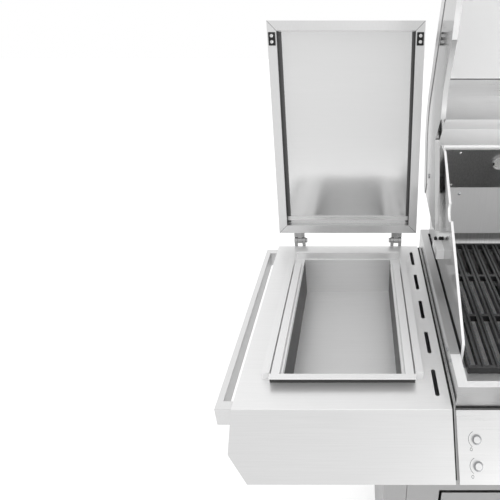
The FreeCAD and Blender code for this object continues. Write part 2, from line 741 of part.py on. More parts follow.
def control_panel():
    holes = [(x, size.knob_down, size.stem_radius + 2) for x in knob_places]
    holes += [(button_x, down, size.button_radius + 1) for down in button_downs]
    panel = fascia(-half_head, half_head, None, holes)
    behind = block((-half_head - 1, half_head + 1),
                   (back(size.head_inset - 1), back(size.fascia_thick * 2)),
                   (up(-size.fascia_length), up(size.sheet)))
    subpart(cut(panel, behind), "control_panel")


def control_bezels():
    """Trim rings round the knobs and the push buttons."""
    rings = []
    for x in knob_places:
        disc = rod("y", (0, 0, 0), size.bezel_radius, 5)
        bore = rod("y", (0, -1, 0), size.stem_radius + 2, 7)
        rings.append(on_fascia(cut(disc, bore), x, size.knob_down, 5))
    for down in button_downs:
        disc = rod("y", (0, 0, 0), size.button_ring, 3)
        bore = rod("y", (0, -1, 0), size.button_radius + 0.3, 5)
        rings.append(on_fascia(cut(disc, bore), button_x, down, 3))
    subpart(group(*rings), "control_bezels")


def push_button(label, down):
    """Push button with a shoulder behind the panel."""
    cap = rod("y", (0, 0, 0), size.button_radius, 12)
    wide = size.button_radius + 2
    behind = 9 + size.button_travel
    shoulder = block((-wide, wide), (behind, behind + 3), (-wide, wide))
    subpart(on_fascia(join(cap, shoulder), button_x, down, 5), label)


def knob(number, x):
    """Tapered control knob with a raised grip bar and its stem."""
    radius, long = size.knob_radius, size.knob_long
    core = DOCUMENT.addObject("Part::Cone", "core")
    bind(core, "Radius1", radius - 2)
    bind(core, "Radius2", radius + 4)
    bind(core, "Height", long - 8)
    place(core, 0, 8, 0, X_AXIS, -90)
    grip = block((-6, 6), (0, 12), (-radius + 4, radius - 4))
    stem = rod("y", (0, long - 2, 0), size.stem_radius, 34)
    body = join(core, grip, stem)
    subpart(on_fascia(body, x, size.knob_down, long + 5 + size.seat_gap), f"knob_{number}")


def gas_valves():
    """Valves on the square manifold tube behind the control panel, each with its gas spud."""
    half, front, deep = 14, 16, 30
    pieces = []
    for x in knob_places:
        body = block((-half, half), (0, deep), (-half, half))
        bore = rod("y", (0, -1, 0), size.stem_radius + size.running_fit, 20)
        spud = hex_bar("y", (x, up(size.burner_rise)), 4, back(-26), back(size.head_inset + 2))
        pieces.append(join(on_fascia(cut(body, bore), x, size.knob_down, -front), spud))
    reach = knob_places[-1] + 30
    tube = block((-reach, reach), (front + 2, front + 20), (half, half + 18))
    inlet = hex_bar("x", (front + 11, half + 9), 8, reach, reach + 26)
    foot_top = -size.knob_down * cosine(size.fascia_slope) + half
    feet = [block((x - 12, x + 12), (back(-12), back(size.head_inset)), (up(foot_top - 12), up(foot_top + 4)))
            for x in (-bay, bay)]
    pieces.append(join(on_fascia(join(tube, inlet), 0, size.knob_down), *feet))
    subpart(group(*pieces), "gas_valves")


control_panel()
control_bezels()
push_button("igniter_button", button_downs[0])
push_button("light_button", button_downs[1])
for number, x in enumerate(knob_places, start=1):
    knob(number, x)
gas_valves()


# ---------------------------------------------------------------- hood

def hinge_y(depth):
    return as_size(depth) - size.hinge_back


def hinge_z(height):
    return as_size(height) - size.hinge_rise


def at_hood_hinge(thing, x=0):
    """Turn a piece made shut, round the hinge axis, up to the open hood."""
    return place(group(thing), x, back(size.hinge_back), up(size.hinge_rise), X_AXIS,
                 -size.hood_opening)


def hood_part(corners, low, high):
    """Prism square to x from corners given as depth and height of the shut hood."""
    local = [(hinge_y(c[0]), hinge_z(c[1]), *c[2:]) for c in corners]
    return prism("x", local, low, high)


hood_base = rim + size.hood_lift
nose_top = rim + size.hood_nose
bend_rise = nose_top + (size.hood_bend - size.hood_front) * tangent(size.hood_slope)
crest_rise = bend_rise + (size.hood_crest - size.hood_bend) * tangent(size.hood_roof)
heel_rise = crest_rise - (size.hood_back - size.hood_crest) * tangent(size.hood_fall)
hood_half = half_head - size.hood_reveal
panel_inner = hood_half - size.hood_side
panel_outer = hood_half - size.sheet - size.seat_gap


def inset_corner(depth, height, slope_in, slope_out, radius, inset):
    """Corner of the shut hood's outline drawn in by an inset square to both its sides."""
    lean, half_turn = (slope_in + slope_out) / 2, (slope_in - slope_out) / 2
    reach = inset / cosine(half_turn)
    corner = (depth + reach * sine(lean), height - reach * cosine(lean))
    return (*corner, radius - inset) if radius.number > inset.number else corner


def hood_top_corners(inset=0):
    """Front, roof and back of the shut hood, from the lower front to the heel."""
    inset, upright = as_size(inset), as_size(90)
    front, roof, fall = size.hood_slope, size.hood_roof, size.hood_fall
    return [(size.hood_front + inset, hood_base),
            inset_corner(size.hood_front, nose_top, upright, front, size.nose_round, inset),
            inset_corner(size.hood_bend, bend_rise, front, roof, size.bend_round, inset),
            inset_corner(size.hood_crest, crest_rise, roof, -fall, size.crest_round, inset),
            inset_corner(size.hood_back, heel_rise, -fall, -upright, size.heel_round, inset)]


def gauge_seat():
    """Middle of the shut hood's sloping front, turned square to it."""
    run = (size.hood_bend + size.hood_front) / 2 + 2
    height = nose_top + (run - size.hood_front) * tangent(size.hood_slope)
    return (0, hinge_y(run), hinge_z(height), X_AXIS, size.hood_slope)


def gauge_bore():
    reach = size.gauge_reach * 1.5
    bore = rod("z", (0, 0, -reach), size.gauge_stem + 1, reach + size.gauge_deep)
    return place(group(bore), *gauge_seat())


def hood_skin():
    """Outer sheet folded over the front, roof and back, with a flange down each side."""
    wall = size.sheet

    def room(inset, half):
        corners = hood_top_corners(inset)
        corners[0] = (corners[0][0], hood_base - wall)
        low_end = (size.hood_back - inset, size.hood_tail - size.hood_flange * 2)
        return hood_part(corners + [low_end], -half, half)

    outer = hood_part(hood_top_corners() + [(size.hood_back, size.hood_tail)], -hood_half, hood_half)
    rooms = room(wall, hood_half - wall), room(size.hood_flange, hood_half + 1)
    subpart(at_hood_hinge(cut(outer, *rooms, gauge_bore())), "hood_skin")


def hood_side_corners(inset=0):
    """Outline of a hood side inside the skin, drawn in all round by an inset."""
    gap = size.sheet + size.seat_gap
    seat = size.stop_rise + size.hood_lift + inset
    top = hood_top_corners(gap + inset)
    top[0] = (top[0][0], hood_base + inset)
    return top + [(size.hood_back - gap - inset, size.hood_tail - size.seat_gap),
                  (size.ear_out - inset, size.ear_turn),
                  (size.ear_back - inset * 0.6, size.ear_low + inset * 1.3),
                  (size.ear_peak, size.ear_rise + inset * 1.3, size.ear_round),
                  (size.seat_back - inset * 0.4, seat), (size.seat_front - inset * 0.3, seat),
                  (size.brow_at - inset * 0.3, size.brow_rise + inset)]


def hood_panel(name, side):
    """Double-walled side: a pan with the ear for the hinge pin, and the cover inside it."""
    wall = as_size(size.sheet)
    low, high = span(side, panel_inner, panel_outer)
    room_low, room_high = span(side, panel_inner - 1, panel_outer - wall)
    cover_low, cover_high = span(side, panel_inner, panel_inner + wall)
    deep = panel_outer - panel_inner
    boss = rod("x", (low, 0, 0), size.pin_radius * 3, deep)
    room = cut(hood_part(hood_side_corners(wall), room_low, room_high), boss)
    bore = rod("x", (low - 1, 0, 0), size.pin_radius + size.running_fit, deep + 2)
    pan = cut(hood_part(hood_side_corners(), low, high), room, bore)
    hole = rod("x", (low - 1, 0, 0), size.pin_radius * 3 + size.seat_gap, deep + 2)
    cover = cut(hood_part(hood_side_corners(wall + size.seat_gap), cover_low, cover_high), hole)
    subpart(at_hood_hinge(group(pan, cover)), f"hood_{name}_side")


def hood_liner():
    """Inner skin, folded at its bends and held clear of the outer one."""
    wall, half = size.sheet, panel_inner - size.seat_gap
    edge = size.hood_front + size.liner_edge
    folds = [(edge, nose_top - size.liner_drop), (size.liner_fold_at, size.liner_fold),
             (size.liner_crest_at, size.liner_crest), (size.liner_rise_at, size.liner_rise),
             (size.liner_tail_at, size.liner_tail)]
    under = [(at, rise - wall) for at, rise in folds[:0:-1]]
    low = hood_base + 6
    outline_corners = [(edge, low), *folds, *under, (edge + wall, folds[0][1] - wall), (edge + wall, low)]
    skin = cut(hood_part(outline_corners, -half, half), gauge_bore())
    subpart(at_hood_hinge(skin), "hood_liner")


def hood_handle():
    """Tube handle on two posts across the hood's upright front."""
    height = nose_top - size.hood_handle_drop
    stand, wide = size.handle_stand, size.post_wide / 2
    y, z = hinge_y(size.hood_front - stand), hinge_z(height)
    half = half_head - size.hood_handle_in
    bar = rod("x", (-half, y, z), size.handle_radius + size.hood_handle_extra, half * 2)
    posts = [block((x - wide, x + wide), (y, y + stand), (z - wide, z + wide))
             for x in (-half + size.post_in, half - size.post_in)]
    subpart(at_hood_hinge(join(bar, *posts)), "hood_handle")


def thermometer():
    """Round case on the middle of the hood's sloping front, with its stem inside."""
    case = rod("z", (0, 0, 0), size.gauge_radius, size.gauge_deep)
    stem = rod("z", (0, 0, -size.gauge_reach), size.gauge_stem, size.gauge_reach + 1)
    subpart(at_hood_hinge(place(join(case, stem), *gauge_seat())), "thermometer")


def hood_pins():
    """Hinge pins from the cheek plates through the hood's ears."""
    pins = []
    for name, side in SIDES:
        low, high = span(side, cheek_outer, panel_outer + 2)
        pins.append(rod("x", (low, back(size.hinge_back), up(size.hinge_rise)),
                        size.pin_radius, high - low))
    subpart(group(*pins), "hood_hinge_pins")


hood_skin()
for side_name, side in SIDES:
    hood_panel(side_name, side)
hood_liner()
hood_handle()
thermometer()
hood_pins()


# ---------------------------------------------------------------- side station

def station_x(across):
    return -station_middle + across


def deck(side, middle, well):
    """Flat top of a side station or shelf, with its row of vent slots and perhaps a well."""
    half = size.station_width / 2
    body = prism("z", [(-half, 0), (half, 0), (half, size.station_depth), (-half, size.station_depth)],
                 0, size.sheet)
    if well:
        sketch = outline(body, "z", [(-well_half, size.well_front), (well_half, size.well_front),
                                     (well_half, size.well_back), (-well_half, size.well_back)],
                         size.sheet)
        mouth = body.newObject("PartDesign::Pocket", "well_mouth")
        mouth.Profile = sketch
        bind(mouth, "Length", size.sheet * 2)
        body.Tip = mouth
    radius = size.vent_width / 2
    low, high = size.vent_first - size.vent_length / 2, size.vent_first + size.vent_length / 2
    across = (half - size.vent_in) * -side
    sketch = outline(body, "z", [(across - radius, low, radius * 0.96), (across + radius, low, radius * 0.96),
                                 (across + radius, high, radius * 0.96), (across - radius, high, radius * 0.96)],
                     size.sheet)
    slot = body.newObject("PartDesign::Pocket", "vent")
    slot.Profile = sketch
    bind(slot, "Length", size.sheet * 2)
    row = body.newObject("PartDesign::LinearPattern", "vents")
    row.Originals = [slot]
    row.Direction = (sketch, ["V_Axis"])
    bind(row, "Length", size.vent_pitch * (size.vent_count - 1))
    bind(row, "Occurrences", size.vent_count)
    body.Tip = row
    place(body, middle, back(0), up(-size.sheet))
    front = fascia(middle - half, middle + half, "left" if side < 0 else "right")
    return join(body, front)


well_half = size.well_width / 2


def station_housing():
    """Open-topped box under the deck that holds the well pan."""
    wall, half = size.sheet, size.station_width / 2
    top, low = -size.sheet, -size.station_drop
    near = size.fascia_thick * 1.5
    outer = block((station_x(-half), station_x(half)), (back(near), back(size.station_depth)),
                  (up(low), up(top)))
    hollow = block((station_x(-half + wall), station_x(half - wall)),
                   (back(near + wall), back(size.station_depth - wall)), (up(low + wall), up(top + 1)))
    subpart(cut(outer, hollow), "station_housing")


def well_pan():
    """Deep pan hung in the deck by its flange."""
    wall = size.sheet
    x = (station_x(-well_half), station_x(well_half))
    outer = block((x[0] - wall, x[1] + wall), (back(size.well_front - wall), back(size.well_back + wall)),
                  (up(-size.well_depth - wall), up(-size.sheet)))
    lip = block(x, (back(size.well_front), back(size.well_back)), (up(-size.sheet * 2), up(0)))
    hollow = block((x[0] + wall, x[1] - wall), (back(size.well_front + wall), back(size.well_back - wall)),
                   (up(-size.well_depth), up(1)))
    subpart(cut(join(outer, lip), hollow), "well_pan")


def well_rails():
    """Grooved rails, outer strips and end bars that stand round the well."""
    rise = size.rail_rise
    near = size.front_bar_at + size.front_bar
    pieces = []
    for name, side in SIDES:
        low, high = span(side, size.rail_inner, size.rail_inner + size.rail_wide)
        rail = block((station_x(low), station_x(high)), (back(near), back(size.rail_back)), (up(0), up(rise)))
        step_low, step_high = span(side, well_half - 3, size.rail_inner)
        step = block((station_x(step_low), station_x(step_high)), (back(near), back(size.rail_back)),
                     (up(0), up(rise - 6)))
        groove_low, groove_high = span(side, size.rail_inner - 2, size.rail_inner)
        groove = block((station_x(groove_low), station_x(groove_high)),
                       (back(near - 1), back(size.rail_back + 1)), (up(rise - 9), up(rise)))
        strip_near = size.rail_inner + size.rail_wide + size.rail_gap
        strip_low, strip_high = span(side, strip_near, strip_near + size.strip_wide)
        strip = block((station_x(strip_low), station_x(strip_high)), (back(near + 6), back(size.rail_back + 30)),
                      (up(0), up(rise - 3)))
        pieces += [cut(join(rail, step), groove), strip]
    for start, thick, tall in ((size.front_bar_at, size.front_bar, rise),
                               (size.well_back + 2, size.back_bar, rise)):
        pieces.append(block((station_x(-size.bar_half), station_x(size.bar_half)),
                          (back(start), back(start + thick)), (up(0), up(tall))))
    subpart(group(*pieces), "well_rails")


def towel_rail(name, side):
    """Flat rail on two end blocks along the outer side of a deck."""
    half = size.station_width / 2
    out, thick = size.towel_out, size.towel_thick
    near, far = as_size(0), size.station_depth - size.towel_short
    middle = station_middle
    low, high = span(side, middle + half + out - thick, middle + half + out)
    bar = block((low, high), (back(near), back(far)), (up(-size.towel_tall), up(0)))
    blocks = []
    for start in (near, far - size.towel_block):
        low, high = span(side, middle + half, middle + half + out)
        blocks.append(block((low, high), (back(start), back(start + size.towel_block)),
                            (up(-size.towel_tall), up(0))))
    subpart(join(bar, *blocks), f"{name}_towel_rail")


def right_shelf():
    """Plain side shelf: a folded tray under its top, with the same front."""
    wall, half = size.sheet, size.station_width / 2
    near = size.fascia_thick * 1.5
    outer = block((station_middle - half, station_middle + half), (back(near), back(size.station_depth)),
                  (up(-size.station_drop), up(-wall)))
    hollow = block((station_middle - half + wall, station_middle + half - wall),
                   (back(near + wall), back(size.station_depth - wall)),
                   (up(-size.station_drop - 1), up(-wall + 1)))
    strap = block((cart_half - 30, cart_half + 10), (back(near), back(size.station_depth)),
                  (up(-size.station_drop), up(-size.station_drop + wall)))
    subpart(join(deck(1, station_middle, False), cut(outer, hollow), strap), "right_shelf")


subpart(deck(-1, -station_middle, True), "station_deck")
station_housing()
well_pan()
well_rails()
right_shelf()
for side_name, side in SIDES:
    towel_rail(side_name, side)


# ---------------------------------------------------------------- side lid

def at_lid_hinge(thing, across=0):
    """Lean a piece made upright over the lid's hinge axis."""
    return place(group(thing), station_x(across), back(size.lid_hinge_back),
                 up(size.lid_hinge_rise), X_AXIS, -size.lid_lean)


lid_half = size.lid_width / 2
lid_front = -size.lid_face
lid_back = size.lid_thick - size.lid_face
lid_low, lid_high = size.lid_clear, size.lid_clear + size.lid_length
lid_panel_at = lid_front + size.rail_rise + 4


def lid_frame():
    """Mitred box frame of four channels."""
    rim_wide = size.lid_frame
    bars = []
    pieces = {"left": (-lid_half, lid_low, lid_high), "right": (lid_half, lid_low, lid_high)}
    for name, (edge, low, high) in pieces.items():
        inner = edge + rim_wide if name == "left" else edge - rim_wide
        bars.append(prism("y", [(edge, low), (inner, low + rim_wide), (inner, high - rim_wide), (edge, high)],
                          lid_front, lid_panel_at))
    for edge, inner in ((lid_low, lid_low + rim_wide), (lid_high, lid_high - rim_wide)):
        bars.append(prism("y", [(-lid_half, edge), (-lid_half + rim_wide, inner),
                                (lid_half - rim_wide, inner), (lid_half, edge)], lid_front, lid_panel_at))
    subpart(at_lid_hinge(group(*bars)), "lid_frame")


def lid_skin():
    """Outer tray of the lid behind its frame, and the sheet that closes it inside."""
    wall = size.sheet
    skin = block((-lid_half, lid_half), (lid_panel_at, lid_back), (lid_low, lid_high))
    room = block((-lid_half + wall, lid_half - wall), (lid_panel_at - 1, lid_back - wall),
                 (lid_low + wall, lid_high - wall))
    sheet = block((-lid_half + wall, lid_half - wall), (lid_panel_at, lid_panel_at + wall),
                  (lid_low + wall, lid_high - wall))
    subpart(at_lid_hinge(group(cut(skin, room), sheet)), "lid_skin")


def lid_rib():
    """Stiffening strip across the lid near its hinge end."""
    inner = lid_half - size.lid_frame - 0.2
    low = lid_low + size.lid_frame + 9
    strip = block((-inner, inner), (lid_panel_at - 3, lid_panel_at), (low, low + 12))
    subpart(at_lid_hinge(strip), "lid_rib")


def lid_bumpers():
    """Rubber pads near the lid's free end."""
    pads = []
    for name, side in SIDES:
        middle = (lid_half - size.lid_frame / 2) * side
        height = lid_high - 42
        pads.append(block((middle - 8.5, middle + 8.5), (lid_front - 4, lid_front),
                          (height - 15.5, height + 15.5)))
    subpart(at_lid_hinge(group(*pads)), "lid_bumpers")


def lid_hinges():
    """Hinge leaves: knuckle ends fixed to the deck's back, the middle knuckle on the lid."""
    radius, half = size.lid_barrel, size.lid_barrel_wide / 2
    middle_half = half * 0.4
    deck_leaves, lid_leaves, pins = [], [], []
    for name, side in SIDES:
        centre = size.lid_hinge_at * side
        for low, high in ((centre - half, centre - middle_half - 0.3), (centre + middle_half + 0.3, centre + half)):
            knuckle = rod("x", (station_x(low), back(size.lid_hinge_back), up(size.lid_hinge_rise)),
                          radius, high - low)
            leaf = block((station_x(low), station_x(high)),
                         (back(size.station_depth), back(size.station_depth + 3)), (up(-34), up(size.lid_hinge_rise)))
            bore = rod("x", (station_x(low - 1), back(size.lid_hinge_back), up(size.lid_hinge_rise)),
                       size.lid_pin, high - low + 2)
            deck_leaves.append(cut(join(knuckle, leaf), bore))
        knuckle = rod("x", (centre - middle_half, 0, 0), radius, middle_half * 2)
        leaf = block((centre - middle_half, centre + middle_half), (-3, 3), (0, lid_low))
        bore = rod("x", (centre - middle_half - 1, 0, 0), size.lid_pin + size.running_fit, middle_half * 2 + 2)
        lid_leaves.append(cut(join(knuckle, leaf), bore))
        head_low, head_high = (centre + half, centre + half + 5) if side < 0 else (centre - half - 5, centre - half)
        shank = rod("x", (station_x(centre - half), back(size.lid_hinge_back), up(size.lid_hinge_rise)),
                    size.lid_pin, half * 2)
        head = rod("x", (station_x(head_low), back(size.lid_hinge_back), up(size.lid_hinge_rise)),
                   radius - 2, head_high - head_low)
        pins.append(join(shank, head))
    subpart(group(*deck_leaves), "lid_hinge_brackets")
    subpart(at_lid_hinge(group(*lid_leaves)), "lid_hinge_leaves")
    subpart(group(*pins), "lid_hinge_pins")


lid_frame()
lid_skin()
lid_rib()
lid_bumpers()
lid_hinges()


# ---------------------------------------------------------------- cart

def ground(height):
    """Z of a height counted from the ground."""
    return as_size(height)


cart_front = size.cart_inset
cart_back = cart_front + size.cart_depth
floor_top = size.cart_floor + size.cart_floor_thick
return_wide = 48
opening_half = cart_half - size.stile_wide + 2


def cart_floor():
    outer = block((-cart_half, cart_half), (back(cart_front), back(cart_back)),
                  (ground(size.cart_floor), ground(floor_top)))
    wall = size.cart_wall
    hollow = block((-cart_half + wall, cart_half - wall), (back(cart_front + wall), back(cart_back - wall)),
                   (ground(size.cart_floor) + wall, ground(floor_top) + 1))
    subpart(cut(outer, hollow), "cart_floor")


def tray_runner(side):
    """Folded bearer under the firebox's side with a ledge for the drip tray."""
    wall = size.cart_wall
    web = size.tray_wide / 2 + 2
    ledge = tray_low - size.seat_gap
    corners = [(web - size.runner_wide, ledge - wall), (web + wall, ledge - wall),
               (web + wall, cart_top - wall), (half_head + 6, cart_top - wall),
               (half_head + 6, cart_top), (web, cart_top), (web, ledge),
               (web - size.runner_wide, ledge)]
    profile = [(x * side, up(z)) for x, z in (corners if side > 0 else corners[::-1])]
    return prism("y", profile, back(cart_front + size.frame_thick), back(cart_back - wall))


def cart_shell():
    """Sides and back in one wrap, with returns at the front edges."""
    wall = size.cart_wall
    outer = block((-cart_half, cart_half), (back(cart_front), back(cart_back)),
                  (ground(floor_top), up(cart_top)))
    hollow = block((-cart_half + wall, cart_half - wall), (back(cart_front + wall), back(cart_back - wall)),
                   (ground(floor_top) - 1, up(cart_top) + 1))
    mouth = block((-cart_half + return_wide, cart_half - return_wide), (back(cart_front - 1), back(cart_front + wall + 1)),
                  (ground(floor_top) - 1, up(cart_top) + 1))
    runners = [tray_runner(side) for name, side in SIDES]
    subpart(join(cut(outer, hollow, mouth), *runners), "cart_shell")


def cart_front_frame():
    """Stiles and rails round the door openings, folded from sheet and open behind."""
    half, wall = cart_half - return_wide - 0.5, size.cart_wall
    near, far = cart_front, cart_front + size.frame_thick
    top, opening_low = frame_top, ground(floor_top) + size.bottom_rail

    def frame(outset, low, high):
        """Outer block, door opening and tray opening, drawn in by a sheet's thickness."""
        outer = block((-half + outset, half - outset), (back(low), back(high)),
                      (ground(floor_top) + outset, up(cart_top) - outset))
        opening = block((-opening_half - outset, opening_half + outset), (back(low - 1), back(high + 1)),
                        (opening_low - outset, top - size.top_rail + outset))
        tray = block((-opening_half - outset, opening_half + outset), (back(low - 1), back(high + 1)),
                     (top - outset, up(cart_top) + 1))
        return cut(outer, opening, tray)

    subpart(cut(frame(as_size(0), near, far), frame(wall, near + wall, far + 1)), "cart_front_frame")


frame_top = up(tray_low - 12)
door_low = ground(floor_top) + size.bottom_rail + size.door_gap
door_high = frame_top - size.top_rail - size.door_gap
hinge_in = 14


def door(name, side):
    """Folded door pan, open behind, with hinge holes in its top and bottom returns."""
    low, high = span(side, size.door_gap / 2, opening_half - size.door_gap)
    y = (back(cart_front - 2), back(cart_front - 2 + size.door_thick))
    wall = size.cart_wall
    slab = block((low, high), y, (door_low, door_high))
    room = block((low + wall, high - wall), (y[0] + wall, y[1] + 1), (door_low + wall, door_high - wall))
    axis_x = (opening_half - size.door_gap - hinge_in) * side
    axis_y = back(cart_front - 2 + size.door_thick / 2)
    bores = [rod("z", (axis_x, axis_y, z), size.door_pin + size.running_fit, size.door_pin_deep + 3)
             for z in (door_low - 1, door_high - size.door_pin_deep - 2)]
    subpart(cut(slab, room, *bores), f"{name}_door")
    grip_x = (size.door_gap / 2 + size.door_handle_in) * side
    grip_y = y[0] - size.handle_stand
    grip_high = door_high - size.door_handle_drop
    grip_low = grip_high - size.door_handle_long
    wide = size.post_wide / 2
    bar = rod("z", (grip_x, grip_y, grip_low), size.handle_radius, size.door_handle_long)
    posts = [block((grip_x - wide, grip_x + wide), (grip_y, y[0]), (z - wide, z + wide))
             for z in (grip_low + size.post_in, grip_high - size.post_in)]
    subpart(join(bar, *posts), f"{name}_door_handle")


def door_pins():
    """Hinge pins in the front frame's rails, two for each door."""
    pins = []
    axis_y = back(cart_front - 2 + size.door_thick / 2)
    for name, side in SIDES:
        axis_x = (opening_half - size.door_gap - hinge_in) * side
        for low, high in ((door_low - size.door_gap, door_low + size.door_pin_deep),
                          (door_high - size.door_pin_deep, door_high + size.door_gap)):
            pins.append(rod("z", (axis_x, axis_y, low), size.door_pin, high - low))
    subpart(group(*pins), "door_hinge_pins")


# ---------------------------------------------------------------- casters

def caster(name, x, y, trail_side):
    """Swivel fork with its axle, and the wheel."""
    top = size.cart_floor - 8
    radius, wide = size.wheel_radius, size.wheel_wide
    trail = size.caster_trail
    fork_half = wide / 2 + 2
    crown = rod("z", (0, 0, radius * 2 + 6), 26, 6)
    stem = rod("z", (0, 0, radius * 2 + 10), size.swivel_radius, top - radius * 2 - 6)
    sides = []
    for low, high in ((-fork_half - 3, -fork_half), (fork_half, fork_half + 3)):
        sides.append(prism("x", [(-22, radius * 2 + 8), (22, radius * 2 + 8), (trail + 12, radius),
                                 (trail + 6, radius - 12), (trail - 6, radius - 12),
                                 (trail - 14, radius)], low, high))
    axle = rod("x", (-fork_half - 3, trail, radius), size.axle_radius, fork_half * 2 + 6)
    bridge = block((-fork_half - 3, fork_half + 3), (-22, 22), (radius * 2 + 3, radius * 2 + 8))
    fork = join(crown, stem, bridge, axle, *sides)
    subpart(place(fork, x, y, 0), f"{name}_caster_fork")
    tyre = rod("x", (-wide / 2, 0, 0), radius, wide)
    bore = rod("x", (-wide / 2 - 1, 0, 0), size.axle_radius + size.running_fit, wide + 2)
    subpart(place(cut(tyre, bore), x, y + trail, radius), f"{name}_caster_wheel")


def caster_plates():
    """Mounting plates under the cart's floor that hold the fork stems."""
    plates = []
    top = size.cart_floor
    for x in (-caster_x, caster_x):
        for y in (caster_front, caster_rear):
            plate = block((x - 40, x + 40), (y - 32, y + 32), (top - 5, top))
            boss = block((x - 18, x + 18), (y - 18, y + 18), (size.wheel_radius * 2 + 12.3, top))
            bore = rod("z", (x, y, size.wheel_radius * 2), size.swivel_radius + size.running_fit,
                       top - size.wheel_radius * 2 - 3)
            plates.append(cut(join(plate, boss), bore))
    subpart(group(*plates), "caster_plates")


caster_x = cart_half - size.caster_inset
caster_front = back(cart_front + size.caster_inset)
caster_rear = back(cart_back - size.caster_inset)

cart_floor()
cart_shell()
cart_front_frame()
for side_name, side in SIDES:
    door(side_name, side)
door_pins()
caster_plates()
for side_name, side in SIDES:
    caster(f"front_{side_name}", caster_x * side, caster_front, side)
    caster(f"rear_{side_name}", caster_x * side, caster_rear, side)

# ---------------------------------------------------------------- checks and files

DOCUMENT.recompute()
faults = [item.Name for item in DOCUMENT.Objects
          if "Invalid" in item.State or "Error" in item.State]
for piece in SUBPARTS:
    if piece.Shape.isNull() or not piece.Shape.isValid() or not piece.Shape.Solids:
        faults.append(piece.Label)
if faults:
    raise SystemExit(f"failed: {faults}")

os.makedirs("parts", exist_ok=True)
for piece in SUBPARTS:
    piece.Shape.exportStep(f"parts/{piece.Label}.step")
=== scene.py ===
"""Looks of the gas barbecue grill: finishes, softened edges, fittings, stage, lights and camera."""
import json
import math

import bmesh
import bpy
from mathutils import Matrix, Vector


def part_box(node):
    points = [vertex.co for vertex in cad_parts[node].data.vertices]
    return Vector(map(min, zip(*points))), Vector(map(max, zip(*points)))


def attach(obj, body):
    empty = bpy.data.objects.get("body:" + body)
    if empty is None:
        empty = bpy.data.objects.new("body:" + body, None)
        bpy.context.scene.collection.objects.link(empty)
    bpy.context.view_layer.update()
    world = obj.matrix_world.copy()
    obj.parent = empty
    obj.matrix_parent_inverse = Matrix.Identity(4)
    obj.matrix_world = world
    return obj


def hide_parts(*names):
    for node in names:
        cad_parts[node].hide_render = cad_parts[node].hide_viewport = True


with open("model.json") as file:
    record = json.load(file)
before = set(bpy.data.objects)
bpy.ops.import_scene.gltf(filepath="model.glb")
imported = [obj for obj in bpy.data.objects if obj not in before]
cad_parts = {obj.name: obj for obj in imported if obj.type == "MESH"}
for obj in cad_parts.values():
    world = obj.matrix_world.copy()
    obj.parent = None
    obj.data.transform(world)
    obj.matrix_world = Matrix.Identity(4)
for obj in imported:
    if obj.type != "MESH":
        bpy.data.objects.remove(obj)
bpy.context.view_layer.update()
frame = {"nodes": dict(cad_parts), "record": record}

MM = 0.001
SIDES = {"left": -1, "right": 1}
RECORD = frame["record"]
BODY_OF = {node: body for body, nodes in RECORD["behaviour"]["bodies"].items() for node in nodes}
GRATES = ("left_grate", "center_grate", "right_grate")
KNOBS = [f"knob_{number}" for number in range(1, 5)]
CASTERS = [f"{end}_{side}" for end in ("front", "rear") for side in SIDES]
# nodes whose flats are split into triangles first, because a softened flat would close their slots
OPENWORK = (*GRATES, *KNOBS, "flame_tamers", "hood_skin")
# top and front edge of the decks in millimetres, from which places on the grill are measured
DECK_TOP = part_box("station_deck")[1].z / MM
DECK_FRONT = -312


def rising(angle):
    """Unit vector to the front that rises by an angle in degrees."""
    return Vector((0, -math.cos(math.radians(angle)), math.sin(math.radians(angle))))


# directions that the sloping faces look along; the open hood turns its dial up and back
FASCIA_OUT = rising(45)
LID_OUT = rising(8.4)
LAMP_PANEL_OUT = rising(-22.5)
DIAL_OUT = rising(141)
# cosine above which a face counts as looking along a direction
FACING = 0.9


# ------------------------------------------------------------------ material helpers

def srgb(hex_colour):
    """Linear red, green and blue of a display colour written as #rrggbb."""
    parts = [int(hex_colour[i:i + 2], 16) / 255 for i in (1, 3, 5)]
    return [p / 12.92 if p <= 0.04045 else ((p + 0.055) / 1.055) ** 2.4 for p in parts]


def add(tree, kind, settings=None, feeds=None, stops=(), **values):
    """One node with its settings, the sockets or numbers that feed it, and its colour stops."""
    made = tree.nodes.new(kind)
    for name, value in (settings or {}).items():
        setattr(made, name, value)
    for name, value in values.items():
        made.inputs[name.replace("_", " ")].default_value = value
    for name, source in (feeds or {}).items():
        if isinstance(source, bpy.types.NodeSocket):
            tree.links.new(source, made.inputs[name])
        else:
            made.inputs[name].default_value = source
    for number, (place, colour) in enumerate(stops):
        made.color_ramp.elements[number].position = place
        made.color_ramp.elements[number].color = colour
    return made


def new_material(name):
    """Empty material with its tree, its output and the object's own coordinates."""
    material = bpy.data.materials.new(name)
    material.use_nodes = True
    tree = material.node_tree
    tree.nodes.clear()
    output = tree.nodes.new("ShaderNodeOutputMaterial")
    coords = add(tree, "ShaderNodeTexCoord").outputs["Object"]
    return material, tree, output, coords


def grey(value):
    """Neutral linear colour."""
    return (value, value, value, 1.0)


def tint(colour, change):
    """Linear colour made lighter or darker by a share of itself."""
    return tuple(min(1.0, part * (1 + change)) for part in srgb(colour)) + (1.0,)


def coat(tree, output, tone, gloss, bump, **values):
    """Surface with its tone, its gloss and its relief."""
    shader = add(tree, "ShaderNodeBsdfPrincipled", None,
                 {"Base Color": tone, "Roughness": gloss, "Normal": bump.outputs["Normal"]}, **values)
    tree.links.new(shader.outputs["BSDF"], output.inputs["Surface"])


SCRATCH_DEPTH, GRIT_DEPTH = 0.1 * MM, 0.05 * MM
BELT_WAVE = 200 * MM  # length of the slow changes in gloss that a grinding belt leaves


